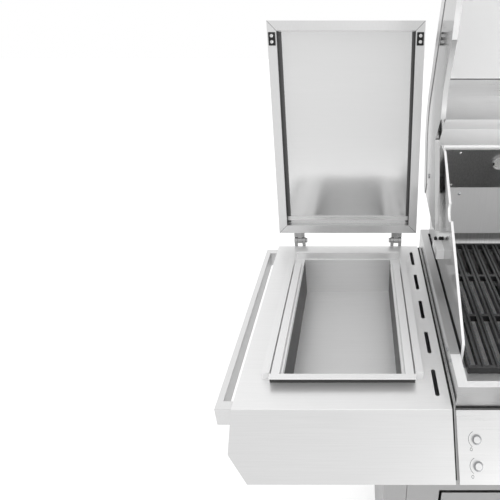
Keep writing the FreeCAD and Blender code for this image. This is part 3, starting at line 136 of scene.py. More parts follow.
def brushed(name, colour, grain, streak=1.6, contrast=0.03, roughness=(0.26, 0.34), relief=0.03,
            metallic=1.0, drag=80, dish=0.0):
    """Ground sheet steel: fine parallel scratches that smear reflections across the grain.

    grain is the axis of the scratches and streak their spacing in millimetres, drawn coarser than
    the real 0.2 mm so that they show; drag is how much longer than wide a scratch is. dish is the
    slope of a panel that its folded rim pulls out of flat, too slight to model.
    """
    material, tree, output, coords = new_material(name)
    scale = [1 / (streak * MM)] * 3
    scale["xyz".index(grain)] /= drag
    along = add(tree, "ShaderNodeMapping", None, {"Vector": coords}, Scale=scale).outputs["Vector"]
    lines = add(tree, "ShaderNodeTexNoise", None, {"Vector": along},
                Scale=1.0, Detail=4.0, Roughness=0.65).outputs["Fac"]
    cloud = add(tree, "ShaderNodeTexNoise", None, {"Vector": coords},
                Scale=1 / BELT_WAVE, Detail=2.0).outputs["Fac"]
    tone = add(tree, "ShaderNodeValToRGB", None, {"Fac": lines},
               ((0.25, tint(colour, -contrast)), (0.75, tint(colour, contrast)))).outputs["Color"]
    both = add(tree, "ShaderNodeMath", {"operation": "ADD"}, {0: lines, 1: cloud}).outputs[0]
    gloss = add(tree, "ShaderNodeValToRGB", None, {"Fac": both},
                ((0.6, grey(roughness[0])), (1.0, grey(roughness[1])))).outputs["Color"]
    bump = add(tree, "ShaderNodeBump", None, {"Height": lines},
               Strength=relief, Distance=SCRATCH_DEPTH)
    if dish:
        height = add(tree, "ShaderNodeSeparateXYZ", None, {"Vector": coords}).outputs["Z"]
        lean = add(tree, "ShaderNodeBump", None, {"Height": height}, Strength=1.0, Distance=dish)
        tree.links.new(lean.outputs["Normal"], bump.inputs["Normal"])
    coat(tree, output, tone, gloss, bump, Metallic=metallic)
    return material


def plain(name, colour, metallic=0.0, roughness=(0.3, 0.4), grit=1.0, relief=0.2, spread=0.06,
          **extra):
    """Finish with an all-over grit of the given size in millimetres."""
    material, tree, output, coords = new_material(name)
    noise = add(tree, "ShaderNodeTexNoise", None, {"Vector": coords},
                Scale=1 / (grit * MM), Detail=4.0, Roughness=0.6).outputs["Fac"]
    tone = add(tree, "ShaderNodeValToRGB", None, {"Fac": noise},
               ((0.3, tint(colour, -spread)), (0.7, tint(colour, spread)))).outputs["Color"]
    gloss = add(tree, "ShaderNodeValToRGB", None, {"Fac": noise},
                ((0.3, grey(roughness[0])), (0.7, grey(roughness[1])))).outputs["Color"]
    bump = add(tree, "ShaderNodeBump", None, {"Height": noise}, Strength=relief, Distance=GRIT_DEPTH)
    coat(tree, output, tone, gloss, bump, Metallic=metallic, **extra)
    return material


# ------------------------------------------------------------------ materials

# ground stainless steel 304: a pale neutral metal whose grain blurs reflections one way
STEEL_X = brushed("brushed_stainless_grain_x", "#e9e9e9", "x")
STEEL_Y = brushed("brushed_stainless_grain_y", "#e4e4e4", "y")
STEEL_Z = brushed("brushed_stainless_grain_z", "#e4e4e4", "z")
# the same steel a shade greyer where it sees heat or grease; the cart's copies are greyer still as
# painted shade, for the shade that the cart stands in below the control panel
WARM_X = brushed("heat_toned_stainless_grain_x", "#bfbfbf", "x")
CART_SHADE_X = brushed("cart_stainless_painted_shade_grain_x", "#b8b8b8", "x")
CART_SHADE_Z = brushed("cart_stainless_painted_shade_grain_z", "#b8b8b8", "z")
# painted light: the deck sheet in a paler, less mirroring copy of the steel, so that the decks and the
# well's pan read brightly lit
DECK_LIT_X = brushed("deck_stainless_painted_light_grain_x", "#f4f4f4", "x", roughness=(0.28, 0.36), metallic=0.5)
# finer ground sheet of the lid: clearer reflections
FINE_X = brushed("fine_brushed_stainless_grain_x", "#e4e4e4", "x", contrast=0.015,
                 roughness=(0.1, 0.16))
# the lid's inner sheet, pulled a little hollow by its frame and hazed by cleaning: mirrors less
DISHED_X = brushed("dished_fine_brushed_stainless_grain_x", "#e4e4e4", "x", contrast=0.015,
                   roughness=(0.1, 0.14), metallic=0.65, dish=0.105)
# satin-ground and bead-blasted stainless inside the hood and the firebox, hardly mirroring; painted
# light: pale, near-white copies of the steel that make these faces, the well's rails and the shell's
# front lip read brightly lit
SATIN_LIT_X = brushed("satin_stainless_painted_light_grain_x", "#fafafa", "x", contrast=0.01,
                  roughness=(0.4, 0.5), metallic=0.1)
SATIN_LIT_Y = brushed("satin_stainless_painted_light_grain_y", "#f6f6f6", "y", contrast=0.015,
                  roughness=(0.3, 0.4), metallic=0.4)
SATIN_LIT_Z = brushed("satin_stainless_painted_light_grain_z", "#f0f0f0", "z", contrast=0.03,
                  roughness=(0.35, 0.45), metallic=0.6)
BLASTED_LIT_Y = brushed("blasted_stainless_painted_light_grain_y", "#fafafa", "y", contrast=0.01,
                    roughness=(0.4, 0.5), metallic=0.2)
BLASTED_LIT_Z = brushed("blasted_stainless_painted_light_grain_z", "#fafafa", "z", contrast=0.01,
                    roughness=(0.4, 0.5), metallic=0.1)
# polished stainless of the hood's sides and the cheeks: near mirror with faint haze
POLISHED = plain("polished_stainless", "#d0d0d0", 1.0, (0.1, 0.14),
                 grit=6, relief=0.01, spread=0.01)
# the same polish on the outer flanks beside the decks, toned by heat
FLANK = plain("heat_toned_polished_stainless", "#c2c2c2", 1.0, (0.12, 0.18),
              grit=6, relief=0.02, spread=0.02)
# darker, more streaked ground steel of the lamp panel; the same steel is painted shade on the rear wall
# along the grates and at the liner's back
DARK_Z = brushed("darker_steel_and_painted_shade_grain_z", "#b2b2b2", "z", streak=3, contrast=0.2,
                 roughness=(0.3, 0.42))
# painted shade: dull dark steel where shade falls, on the well's side walls and under its front rail,
# along the liner's fold and on the lid frame's inner walls and side strips; the Z-grain copy also draws
# the lid's mitre seams, which are dark joints
SHADE_Y = brushed("painted_shade_stainless_grain_y", "#5c5c5c", "y", contrast=0.04,
                 roughness=(0.35, 0.45))
SHADE_AND_SEAM_Z = brushed("painted_shade_and_seam_stainless_grain_z", "#6a6a6a", "z", contrast=0.04,
                 roughness=(0.3, 0.4))
# porcelain-enamelled cast iron: near black, a little glossy, uneven from the casting
ENAMEL = plain("enamelled_cast_iron", "#2c2c2d", 0.0, (0.18, 0.28),
               grit=1.6, relief=0.5, spread=0.2)
# investment-cast stainless of the lid's hinges: darker and glossy in its hollows
CAST = plain("cast_stainless", "#b2b2b2", 1.0, (0.12, 0.2), grit=3, relief=0.1, spread=0.08)
# chrome plate on the small fittings
CHROME = plain("chrome_plate", "#dcdcdc", 1.0, (0.07, 0.12), grit=3, relief=0.01, spread=0.01)
# zinc plate on the fasteners and casters: greyer and duller, with a crystalline mottle
ZINC = plain("zinc_plated_steel", "#b9bbbd", 1.0, (0.3, 0.45), grit=2, relief=0.1, spread=0.08)
# drawn brass of the gas valves: warm and dull
BRASS = plain("drawn_brass", "#b79a5c", 1.0, (0.25, 0.35), grit=1.2, relief=0.1)
# moulded black rubber: matt with a fine grain
RUBBER = plain("moulded_rubber", "#1b1b1b", 0.0, (0.6, 0.8), grit=0.8, relief=0.3, spread=0.12)
# thermoplastic rubber tyres and polypropylene hubs: soft dark grey round a paler core
TREAD = plain("grey_caster_rubber", "#3a3a3c", 0.0, (0.5, 0.65), grit=0.8, relief=0.3, spread=0.1)
HUB = plain("moulded_polypropylene", "#8a8c8e", 0.0, (0.35, 0.45), grit=1.5, relief=0.1, spread=0.04)
# pressed borosilicate lens: frosted, so the bulb behind is hidden
LENS = plain("frosted_borosilicate", "#eeeeec", 0.0, (0.25, 0.35), grit=1.0, relief=0.3, spread=0.02,
             Transmission_Weight=0.6, IOR=1.47)
# clear window of the thermometer
WINDOW = plain("clear_soda_glass", "#ffffff", 0.0, (0.01, 0.02), grit=20, relief=0.0, spread=0.0,
               Transmission_Weight=1.0, IOR=1.5)
# enamelled dial, screen-printed marks and lacquered needle: flat even colours
DIAL = plain("white_dial_enamel", "#f0f0ec", 0.0, (0.25, 0.3), grit=2, relief=0.02, spread=0.01)
INK = plain("screen_printed_ink", "#55575a", 0.0, (0.5, 0.6), grit=0.4, relief=0.1, spread=0.1)
POINTER = plain("red_lacquer", "#a32a22", 0.0, (0.3, 0.35), grit=1, relief=0.02, spread=0.03)
# painted shade: an even soft grey metal ring round the buttons, for the shade in the gap round each cap
SHADE_RING = plain("grey_painted_shade_ring", "#a6a7a9", 1.0, (0.3, 0.4),
                 grit=0.6, relief=0.1, spread=0.05)


# ------------------------------------------------------------------ making pieces

SOFTENED_TURN = 40  # degrees past which an edge is softened
FLAT_TURN = 0.4  # degrees within which neighbouring triangles are one flat
FLAT_DEPTH = 0.05 * MM  # depth within which corners lie on one flat
MERGED = 0.002 * MM  # distance within which the loose corners of a CAD node are one
CLOSED = 0.001 * MM  # distance within which the corners of a new piece are one


def weigh_edges(mesh):
    """Mark the edges to soften: those that turn far enough, and not where two solids touch."""
    bm = bmesh.new()
    bm.from_mesh(mesh)
    weight = bm.edges.layers.float.new("bevel_weight_edge")
    touching = {vert for edge in bm.edges if len(edge.link_faces) != 2 for vert in edge.verts}
    for edge in bm.edges:
        alone = not any(vert in touching for vert in edge.verts)
        if alone and edge.calc_face_angle() > math.radians(SOFTENED_TURN):
            edge[weight] = 1.0
    bm.to_mesh(mesh)
    bm.free()


def settle(name, mesh, materials, body, bevel=0.0, segments=2, fold=32):
    """Object at the origin with its finish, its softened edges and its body.

    Edges that turn by more than fold degrees stay sharp.
    """
    piece = bpy.data.objects.new(name, mesh)
    bpy.context.scene.collection.objects.link(piece)
    for material in materials:
        mesh.materials.append(material)
    for polygon in mesh.polygons:
        polygon.use_smooth = True
    mesh.set_sharp_from_angle(angle=math.radians(fold))
    if bevel:
        weigh_edges(mesh)
        edge = piece.modifiers.new("softened_edges", "BEVEL")
        edge.width, edge.segments, edge.limit_method = bevel * MM, segments, "WEIGHT"
        edge.harden_normals = True
    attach(piece, body)
    return piece


def mesh_of(name, bm):
    """Mesh made of a bmesh, which is freed."""
    mesh = bpy.data.meshes.new(name)
    bm.to_mesh(mesh)
    bm.free()
    return mesh


def dress(node, material, bevel=0.6, inlays=(), shape=None):
    """Copy of a CAD node with its edges softened, as a deburred or folded edge is.

    Each inlay is a further material and the test for the faces that take it. Where two tests
    hold, the later inlay wins. shape changes the copy before the tests.
    """
    bm = bmesh.new()
    bm.from_mesh(frame["nodes"][node].data)
    bmesh.ops.remove_doubles(bm, verts=bm.verts, dist=MERGED)
    bmesh.ops.dissolve_limit(bm, angle_limit=math.radians(FLAT_TURN), verts=bm.verts, edges=bm.edges)
    if shape:
        shape(bm)
    for part in bm.faces:
        for rank, (finish, inside) in enumerate(inlays, 1):
            if inside(part):
                part.material_index = rank
    if node in OPENWORK:
        bmesh.ops.triangulate(bm, faces=bm.faces)
    name = f"{node}_finished"
    materials = [material] + [finish for finish, inside in inlays]
    piece = settle(name, mesh_of(name, bm), materials, BODY_OF[node], bevel, fold=12)
    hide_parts(node)


def cut(bm, axis, *places):
    """Score a mesh all round at each place along an axis, so that its faces can change finish there."""
    along = Vector([float(axis == other) for other in "xyz"])
    for place in places:
        bmesh.ops.bisect_plane(bm, geom=bm.verts[:] + bm.edges[:] + bm.faces[:],
                               plane_co=place * along, plane_no=along)


def looking(out):
    """Test for the faces that look along out."""
    return lambda part: part.normal.dot(out) > FACING


def face(node, out, around=None, reach=60):
    """Middle of the outermost flat of a node that looks along out.

    around keeps only what lies within reach millimetres of a point.
    """
    points = [vert.co for vert in frame["nodes"][node].data.vertices]
    if around is not None:
        points = [point for point in points if (point - Vector(around)).length < reach * MM]
    top = max(point.dot(out) for point in points)
    rim = [point for point in points if top - point.dot(out) < FLAT_DEPTH]
    return Vector([(min(p[axis] for p in rim) + max(p[axis] for p in rim)) / 2 for axis in range(3)])


def seat(middle, out, right=(1, 0, 0)):
    """Matrix that stands a piece made on the XY plane at middle, facing along out."""
    out, right = Vector(out).normalized(), Vector(right)
    up = out.cross(right).normalized()
    right = up.cross(out)
    return Matrix.Translation(middle) @ Matrix((right, up, out)).transposed().to_4x4()


def shift(x=0, y=0, z=0):
    """Matrix that moves a piece by millimetres."""
    return Matrix.Translation((x * MM, y * MM, z * MM))


def turned(profile, steps=40):
    """Solid of revolution about Z from (radius, height) points in millimetres."""
    bm = bmesh.new()
    verts = [bm.verts.new((radius * MM, 0, height * MM)) for radius, height in profile]
    edges = [bm.edges.new(pair) for pair in zip(verts, verts[1:])]
    bmesh.ops.spin(bm, geom=verts + edges, cent=(0, 0, 0), axis=(0, 0, 1), angle=math.tau,
                   steps=steps, use_merge=True)
    bmesh.ops.remove_doubles(bm, verts=bm.verts, dist=CLOSED)
    bmesh.ops.recalc_face_normals(bm, faces=bm.faces)
    return bm


def slab(wide, deep, tall):
    """Block on the XY plane, centred, in millimetres."""
    bm = bmesh.new()
    bmesh.ops.create_cube(bm, size=1)
    bmesh.ops.scale(bm, vec=(wide * MM, deep * MM, tall * MM), verts=bm.verts)
    bmesh.ops.translate(bm, vec=(0, 0, tall / 2 * MM), verts=bm.verts)
    return bm


def stroke(points, wide, tall=0.12):
    """Flat printed line along (x, y) points in millimetres, its bars lapped to fill the corners."""
    bm = bmesh.new()
    lap = 0.6 * wide
    for start, end in zip(points, points[1:]):
        run = Vector(end) - Vector(start)
        bar = slab(run.length + lap, wide, tall)
        turn = Matrix.Rotation(math.atan2(run.y, run.x), 4, "Z")
        middle = (Vector(start) + Vector(end)) / 2
        join(bm, bar, [shift(middle.x, middle.y) @ turn])
    return bm


def arc(radius, start, end, steps=16):
    """Points along an arc about the origin, angles in degrees from +X."""
    turns = [math.radians(start + (end - start) * i / steps) for i in range(steps + 1)]
    return [(radius * math.cos(turn), radius * math.sin(turn)) for turn in turns]


def join(bm, part, spots):
    """Add a copy of part to bm at each spot, then free part."""
    holder = bpy.data.meshes.new("holder")
    part.to_mesh(holder)
    part.free()
    for spot in spots:
        old = set(bm.verts)
        bm.from_mesh(holder)
        bmesh.ops.transform(bm, matrix=spot, verts=[vert for vert in bm.verts if vert not in old])
    bpy.data.meshes.remove(holder)
    return bm


def fitting(name, part, material, body, spots, bevel=0.0, segments=2):
    """New piece made of one shape repeated at each spot."""
    bm = join(bmesh.new(), part, spots)
    return settle(name, mesh_of(name, bm), [material], body, bevel, segments)


# ------------------------------------------------------------------ finishes of the CAD nodes

# material of each node, and how far its edges are softened in millimetres
FINISHES = {
    "station_housing": (STEEL_Y, 1.0),
    "left_towel_rail": (STEEL_Y, 1.0), "right_towel_rail": (STEEL_Y, 1.0),
    "lid_rib": (STEEL_X, 0.4), "lid_bumpers": (RUBBER, 0.8),
    "lid_hinge_brackets": (CAST, 0.5), "lid_hinge_leaves": (CAST, 0.5), "lid_hinge_pins": (CAST, 0.8),
    # painted light: the flame tamers take the pale blasted steel
    "flame_tamers": (BLASTED_LIT_Y, 0.5), "burner_tubes": (STEEL_Y, 0.5), "rear_panel": (DARK_Z, 0.5),
    **{grate: (ENAMEL, 1.0) for grate in GRATES},
    "hood_skin": (STEEL_X, 0.5),
    "hood_left_side": (POLISHED, 0.0), "hood_right_side": (POLISHED, 0.0),
    "hood_handle": (STEEL_X, 1.5), "thermometer": (CHROME, 0.8), "hood_hinge_pins": (ZINC, 0.5),
    "control_panel": (STEEL_X, 1.2), "control_bezels": (CHROME, 0.8),
    "igniter_button": (STEEL_X, 0.8), "light_button": (STEEL_X, 0.8), "gas_valves": (BRASS, 0.0),
    "drip_tray": (STEEL_X, 0.8),
    # painted shade: the cart, its front frame and its doors take the darker cart steel
    "cart_floor": (CART_SHADE_X, 1.0), "cart_shell": (CART_SHADE_Z, 1.0), "cart_front_frame": (CART_SHADE_X, 1.0),
    "left_door": (CART_SHADE_X, 1.2), "right_door": (CART_SHADE_X, 1.2),
    "left_door_handle": (STEEL_Z, 1.0), "right_door_handle": (STEEL_Z, 1.0),
    "door_hinge_pins": (ZINC, 0.4), "caster_plates": (ZINC, 0.6),
    **{knob: (CHROME, 1.5) for knob in KNOBS},
    **{f"{caster}_caster_fork": (ZINC, 0.6) for caster in CASTERS},
}
for node, (finish, softening) in FINISHES.items():
    dress(node, finish, softening)


# ------------------------------------------------------------------ pieces with more than one finish

def decks():
    """Deck sheets in painted light, with their fascias in the plain ground steel."""
    for node in ("station_deck", "right_shelf"):
        dress(node, DECK_LIT_X, 1.2, [(STEEL_X, looking(FASCIA_OUT))])


def well():
    """Pan in painted light with painted shade on its side walls, and rails in painted light whose front
    bar stands over an undercut painted with shade.
    """
    # painted light on the pan, painted shade on its side walls
    dress("well_pan", DECK_LIT_X, 0.0, [(SHADE_Y, lambda part: abs(part.normal.x) > FACING)])
    low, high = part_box("well_rails")
    lip = high.z - 2.4 * MM
    slope, depth = 0.3 * MM, 9 * MM
    front, inner = low.y + 0.5 * MM, low.y + depth + 1 * MM

    def undercut(bm):
        cut(bm, "z", lip, lip - slope)
        foot = [vert for vert in bm.verts if vert.co.y < front and vert.co.z < lip - 0.2 * MM]
        bmesh.ops.translate(bm, vec=(0, depth, 0), verts=foot)

    def in_undercut(part):
        middle = part.calc_center_median()
        return middle.y < inner and middle.z < lip - 0.1 * MM

    # painted light on the rails, painted shade in the undercut below the front bar
    dress("well_rails", SATIN_LIT_Y, 0.6, [(SHADE_Y, in_undercut)], undercut)


def lid():
    """Lid frame with painted shade on its inner walls, and the dished skin in it."""
    low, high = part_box("lid_frame")
    middle = (low.x + high.x) / 2
    least_offset = 100 * MM

    def inner_wall(part):
        inward = -part.normal.x * (part.calc_center_median().x - middle)
        return inward > FACING * least_offset

    # painted shade on the frame's inner walls
    dress("lid_frame", STEEL_Z, 0.0, [(SHADE_AND_SEAM_Z, inner_wall)])
    dress("lid_skin", FINE_X, 0.8, [(DISHED_X, looking(LID_OUT))])


def lid_lines():
    """Seams of the lid frame's mitres, and dark strips of painted shade along its side members."""
    low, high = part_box("lid_frame")
    place = seat(face("lid_frame", LID_OUT), LID_OUT)
    points = [place.inverted() @ vert.co for vert in frame["nodes"]["lid_frame"].data.vertices]
    across = (high.x - low.x) / 2 / MM
    tall = min(max(point.y for point in points), -min(point.y for point in points)) / MM
    member, end, sunk = 23, 0.8, 0.02
    mitres = bmesh.new()
    for x in (-1, 1):
        for y in (-1, 1):
            ends = [(x * (across - inset), y * (tall - inset)) for inset in (end, member)]
            join(mitres, stroke(ends, wide=0.9, tall=0.05), [place @ shift(0, 0, -sunk)])
    fitting("lid_mitre_seams", mitres, SHADE_AND_SEAM_Z, "side_lid", [Matrix()])
    skin = place.inverted() @ face("lid_skin", LID_OUT)
    # painted shade: dark strips on the skin along the side members, wider on the left, for the shade
    # beside the frame's inner walls
    shade_bands = bmesh.new()
    for x, wide in ((-1, 9), (1, 7)):
        spot = place @ shift(x * (across - member - wide / 2), 0, skin.z / MM + 0.05)
        join(shade_bands, slab(wide, 2 * (tall - member) - 2, 0.8), [spot])
    fitting("lid_painted_shade_strips", shade_bands, SHADE_AND_SEAM_Z, "side_lid", [Matrix()], bevel=0.2, segments=1)


def hood_inside():
    """Liner: satin with painted light above its fold, ground bright on the curved band that mirrors the
    grates, and a line of painted shade along the fold.
    """
    band_foot, fold, line = (DECK_TOP + 361) * MM, (DECK_TOP + 470) * MM, 3 * MM

    def in_band(part):
        return band_foot < part.calc_center_median().z < fold

    def on_fold(part):
        return fold - line < part.calc_center_median().z < fold

    dress("hood_liner", SATIN_LIT_X, 0.5, [(STEEL_X, in_band), (SHADE_Y, on_fold)],
          lambda bm: cut(bm, "z", fold, fold - line))


def firebox():
    """Shell and cheeks polished outside; painted light on the shell's front lip, the cheeks, the liner
    and the rear wall, and painted shade on the rear wall along the grates and at the liner's back.
    """
    low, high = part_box("firebox_shell")
    outer_part, lip_end = 0.9 * high.x, low.y + 85 * MM
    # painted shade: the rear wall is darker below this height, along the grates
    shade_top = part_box("center_grate")[1].z + 33 * MM
    liner_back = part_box("firebox_liner")[1].y - 30 * MM

    def outer_flank(part):
        middle = part.calc_center_median()
        return part.normal.x * middle.x > FACING * abs(middle.x) and abs(middle.x) > outer_part

    # painted light: the front lip's upward faces take the pale satin steel
    def front_lip(part):
        return part.normal.z > FACING and part.calc_center_median().y < lip_end

    dress("firebox_shell", WARM_X, 0.0, [(FLANK, outer_flank), (SATIN_LIT_Y, front_lip)],
          lambda bm: cut(bm, "y", lip_end))
    for name in SIDES:
        dress(f"{name}_cheek", BLASTED_LIT_Z, 0.8, [(FLANK, outer_flank)])
    dress("firebox_liner", SATIN_LIT_Z, 0.0,
          [(DARK_Z, lambda part: part.calc_center_median().y > liner_back)])
    dress("rear_housing", SATIN_LIT_Z, 0.0, [(DARK_Z, lambda part: part.calc_center_median().z < shade_top)],
          lambda bm: cut(bm, "z", shade_top))


def flank_strip(name, material, near, far, drop):
    """Strip in the gap beside each side station, from near to far off the firebox's side.

    Its outline lies drop below the deck and follows the fascia's slope down to the control
    panel's foot. near, far and drop are millimetres.
    """
    firebox_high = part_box("firebox_shell")[1]
    panel_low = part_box("control_panel")[0]
    rear_inset, front_inset, foot_inset, bend_inset = 12 * MM, 12 * MM, 9 * MM, 6 * MM
    top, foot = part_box("station_deck")[1].z - drop * MM, panel_low.z + foot_inset
    front, rear = panel_low.y + front_inset, firebox_high.y - rear_inset
    bend = front + (top - foot) - bend_inset
    bm = bmesh.new()
    for side in SIDES.values():
        x = side * (firebox_high.x + near * MM)
        outline = ((rear, top), (bend, top), (front, foot), (rear, foot))
        verts = [bm.verts.new((x, y, z)) for y, z in outline]
        grown = bmesh.ops.extrude_face_region(bm, geom=[bm.faces.new(verts)])["geom"]
        moved = [item for item in grown if isinstance(item, bmesh.types.BMVert)]
        bmesh.ops.translate(bm, vec=(side * (far - near) * MM, 0, 0), verts=moved)
    bmesh.ops.recalc_face_normals(bm, faces=bm.faces)
    settle(name, mesh_of(name, bm), [material], "grill")


def gap_seals():
    """Steel trims in the gaps between the firebox and the side stations, and black strips of painted
    shade in these gaps and along the control panel's top.
    """
    flank_strip("gap_trims", FLANK, near=0.2, far=2.4, drop=0.6)
    # painted shade: black strips deep in the gaps beside the firebox
    flank_strip("gap_seals", RUBBER, near=2.4, far=6.8, drop=4)
    low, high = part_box("control_panel")
    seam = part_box("firebox_shell")[0].y - 0.7 * MM
    # painted shade: a black strip along the seam above the control panel
    strip = slab((high.x - low.x) / MM - 2, 1.2, 3)
    fitting("panel_seam_shade", strip, RUBBER, "grill",
            [Matrix.Translation((0, seam, high.z + 0.1 * MM))])


decks()
well()
lid()
lid_lines()
hood_inside()
firebox()
gap_seals()


# ------------------------------------------------------------------ small fittings

def lamps():
    """Oven lamps: chrome bezels with frosted lenses."""
    low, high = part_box("rear_lamps")
    radius, lens_radius = 21 * MM, 15.9 * MM
    middles = [Vector((side * (high.x - radius), (low.y + high.y) / 2, (low.z + high.z) / 2))
               for side in SIDES.values()]

    def in_lens(part):
        return min((part.calc_center_median() - middle).length for middle in middles) < lens_radius

    dress("rear_lamps", CHROME, 0.6, [(LENS, in_lens)])


# half outlines of the heads, as (radius, height)
PAN_HEAD = [(0, 1.1), (1.1, 1.1), (1.2, 2.0), (2.2, 1.9), (3.2, 1.2), (3.6, 0), (0, 0)]
BUTTON_HEAD = [(0, 2.6), (2.0, 2.5), (3.6, 1.8), (4.5, 0.5), (4.5, 0), (0, 0)]


def hinge_straps():
    """Straps from the hinge knuckles to the lid."""
    pin_low, pin_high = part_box("lid_hinge_pins")
    leaf_low, leaf_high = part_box("lid_hinge_leaves")
    axis = (pin_low + pin_high) / 2
    centre, reach = (leaf_high.x + leaf_low.x) / 2, (leaf_high.x - leaf_low.x) / 2 - 4.9 * MM
    spots = [seat((centre + side * reach, axis.y, axis.z), LID_OUT) @ shift(0, 17, -2.4)
             for side in SIDES.values()]
    fitting("lid_hinge_straps", slab(30, 15, 4.8), CAST, "side_lid", spots, bevel=1.2)


def bumper_screws():
    """Two domed screws in each rubber pad of the lid."""
    low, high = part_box("lid_bumpers")
    half_pad, pitch, sunk = 8.5 * MM, 14, 0.1
    spots = []
    for x in (low.x + half_pad, high.x - half_pad):
        pad = face("lid_bumpers", LID_OUT, (x, (low.y + high.y) / 2, (low.z + high.z) / 2), 30)
        spots += [seat(pad, LID_OUT) @ shift(0, along, -sunk) for along in (-pitch / 2, pitch / 2)]
    fitting("lid_bumper_screws", turned(BUTTON_HEAD, steps=24), CHROME, "side_lid", spots)


def firebox_screws():
    """Screws in the firebox's sides, its back wall and the lamp panel."""
    low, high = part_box("firebox_shell")
    below_rim = 12.5 * MM
    flank = []
    for side in SIDES.values():
        for behind in (81, 112):
            spot = (side * high.x, low.y + behind * MM, high.z - below_rim)
            flank.append(seat(spot, (side, 0, 0), (0, side, 0)))
    fitting("firebox_side_screws", turned(PAN_HEAD, steps=20), ZINC, "grill", flank)
    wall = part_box("rear_housing")[1].y - 20 * MM
    bolt_offset, bolt_height = 366 * MM, (DECK_TOP + 183) * MM
    bolts = [seat((side * bolt_offset, wall, bolt_height), (0, -1, 0)) for side in SIDES.values()]
    fitting("back_wall_bolts", turned(BUTTON_HEAD, steps=24), ZINC, "grill", bolts)
    panel = seat(face("rear_panel", LAMP_PANEL_OUT), LAMP_PANEL_OUT)
    corners = [(side * x, y) for x, y in ((385, 55), (392, -55)) for side in SIDES.values()]
    screws = [panel @ shift(x, y) for x, y in corners + [(-130, 55), (130, 55)]]
    fitting("lamp_panel_screws", turned(PAN_HEAD, steps=20), CHROME, "grill", screws)


def hood_feet():
    """Pair of rubber feet beside each cheek for the hood to rest on."""
    behind, above = DECK_FRONT + 398, DECK_TOP + 134
    foot = turned([(0, 7), (2.4, 7), (3.4, 6), (4, 1), (4, 0), (0, 0)], steps=24)
    feet = [shift(side * across, behind, above) for side in SIDES.values() for across in (438, 449)]
    fitting("hood_rubber_feet", foot, RUBBER, "grill", feet)


def tray_guards():
    """Folded sheets that close the cart's front each side of the drip tray."""
    frame_low, frame_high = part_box("cart_front_frame")
    tray_low, tray_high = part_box("drip_tray")
    stile, play, sheet, flange = 457, 3, 1.5, 10
    setback, lap = 6 * MM, 12 * MM
    wide, tall = stile - tray_high.x / MM - play, (frame_high.z - tray_low.z) / MM + 10
    guard = slab(wide, sheet, tall)
    for side in SIDES.values():
        join(guard, slab(sheet, flange, tall), [shift(-side * (wide - sheet) / 2, flange / 2)])
    across = (stile - 0.5 - wide / 2) * MM
    spots = [Matrix.Translation((side * across, frame_low.y + setback, tray_low.z - lap))
             for side in SIDES.values()]
    fitting("tray_side_guards", guard, CART_SHADE_Z, "grill", spots)


# degrees from three o'clock at which the dial starts, and how far it runs clockwise
DIAL_START, DIAL_SWEEP = 225, 270


def dial_turn(share):
    """Angle on the thermometer's dial, in radians, at a share of its sweep."""
    return math.radians(DIAL_START - DIAL_SWEEP * share)


def dial_number(number, tall):
    """Raised flat number in the middle of the XY plane."""
    letters = bpy.data.curves.new("numbers", "FONT")
    letters.body, letters.size, letters.extrude = str(number), tall * MM, 0.05 * MM
    letters.align_x, letters.align_y, letters.resolution_u = "CENTER", "CENTER", 2
    holder = bpy.data.objects.new("numbers", letters)
    mesh = bpy.data.meshes.new_from_object(holder)
    bm = bmesh.new()
    bm.from_mesh(mesh)
    bmesh.ops.remove_doubles(bm, verts=bm.verts, dist=CLOSED)
    bmesh.ops.recalc_face_normals(bm, faces=bm.faces)
    bpy.data.objects.remove(holder)
    bpy.data.meshes.remove(mesh)
    bpy.data.curves.remove(letters)
    return bm


def dial_marks():
    """Divisions of the dial, every fourth one longer, and its numbers from 0 to 700."""
    marks = bmesh.new()
    divisions, rim, ring = 28, 25.5, 16.5
    for number in range(divisions + 1):
        long, wide = (5, 0.7) if number % 4 == 0 else (3, 0.4)
        turn = Matrix.Rotation(dial_turn(number / divisions), 4, "Z")
        join(marks, slab(long, wide, 0.1), [turn @ shift(rim - long / 2, 0, 0.4)])
    for number in range(8):
        angle = dial_turn(number / 7)
        spot = shift(ring * math.cos(angle), ring * math.sin(angle), 0.45)
        join(marks, dial_number(number * 100, 4.4), [spot])
    return marks


def thermometer_face():
    """White dial with its marks, pointer, raised bezel and window."""
    case = seat(face("thermometer", DIAL_OUT), DIAL_OUT)
    dial = turned([(0, 0.4), (27, 0.4), (27, 0), (0, 0)], steps=64)
    fitting("thermometer_dial", dial, DIAL, "hood", [case])
    rim = [(27.5, 0), (27.5, 1.5), (28.5, 3.2), (30.5, 3), (31.6, 1.6), (31.9, 0), (27.5, 0)]
    fitting("thermometer_bezel", turned(rim, steps=64), CHROME, "hood", [case])
    fitting("thermometer_marks", dial_marks(), INK, "hood", [case])
    needle = turned([(0, 2), (2.4, 2), (2.8, 1.4), (2.8, 0.4), (0, 0.4)], steps=24)
    turn = Matrix.Rotation(dial_turn(0), 4, "Z")
    join(needle, slab(26, 1.0, 0.5), [turn @ shift(8, 0, 1.0)])
    fitting("thermometer_pointer", needle, POINTER, "hood", [case])
    window = turned([(0, 3.0), (14, 2.9), (27.6, 2.5), (27.6, 2.1), (14, 2.4), (0, 2.5)], steps=64)
    fitting("thermometer_window", window, WINDOW, "hood", [case])


FLAME = [(0, 4), (1.4, 2.2), (2.0, 0.4), (1.6, -1.2), (0, -2),
         (-1.6, -1.2), (-2.0, 0.2), (-1.2, 1.6), (0, 4)]
TRIM_TALL = 5  # millimetres that bezels and button caps stand above the control panel


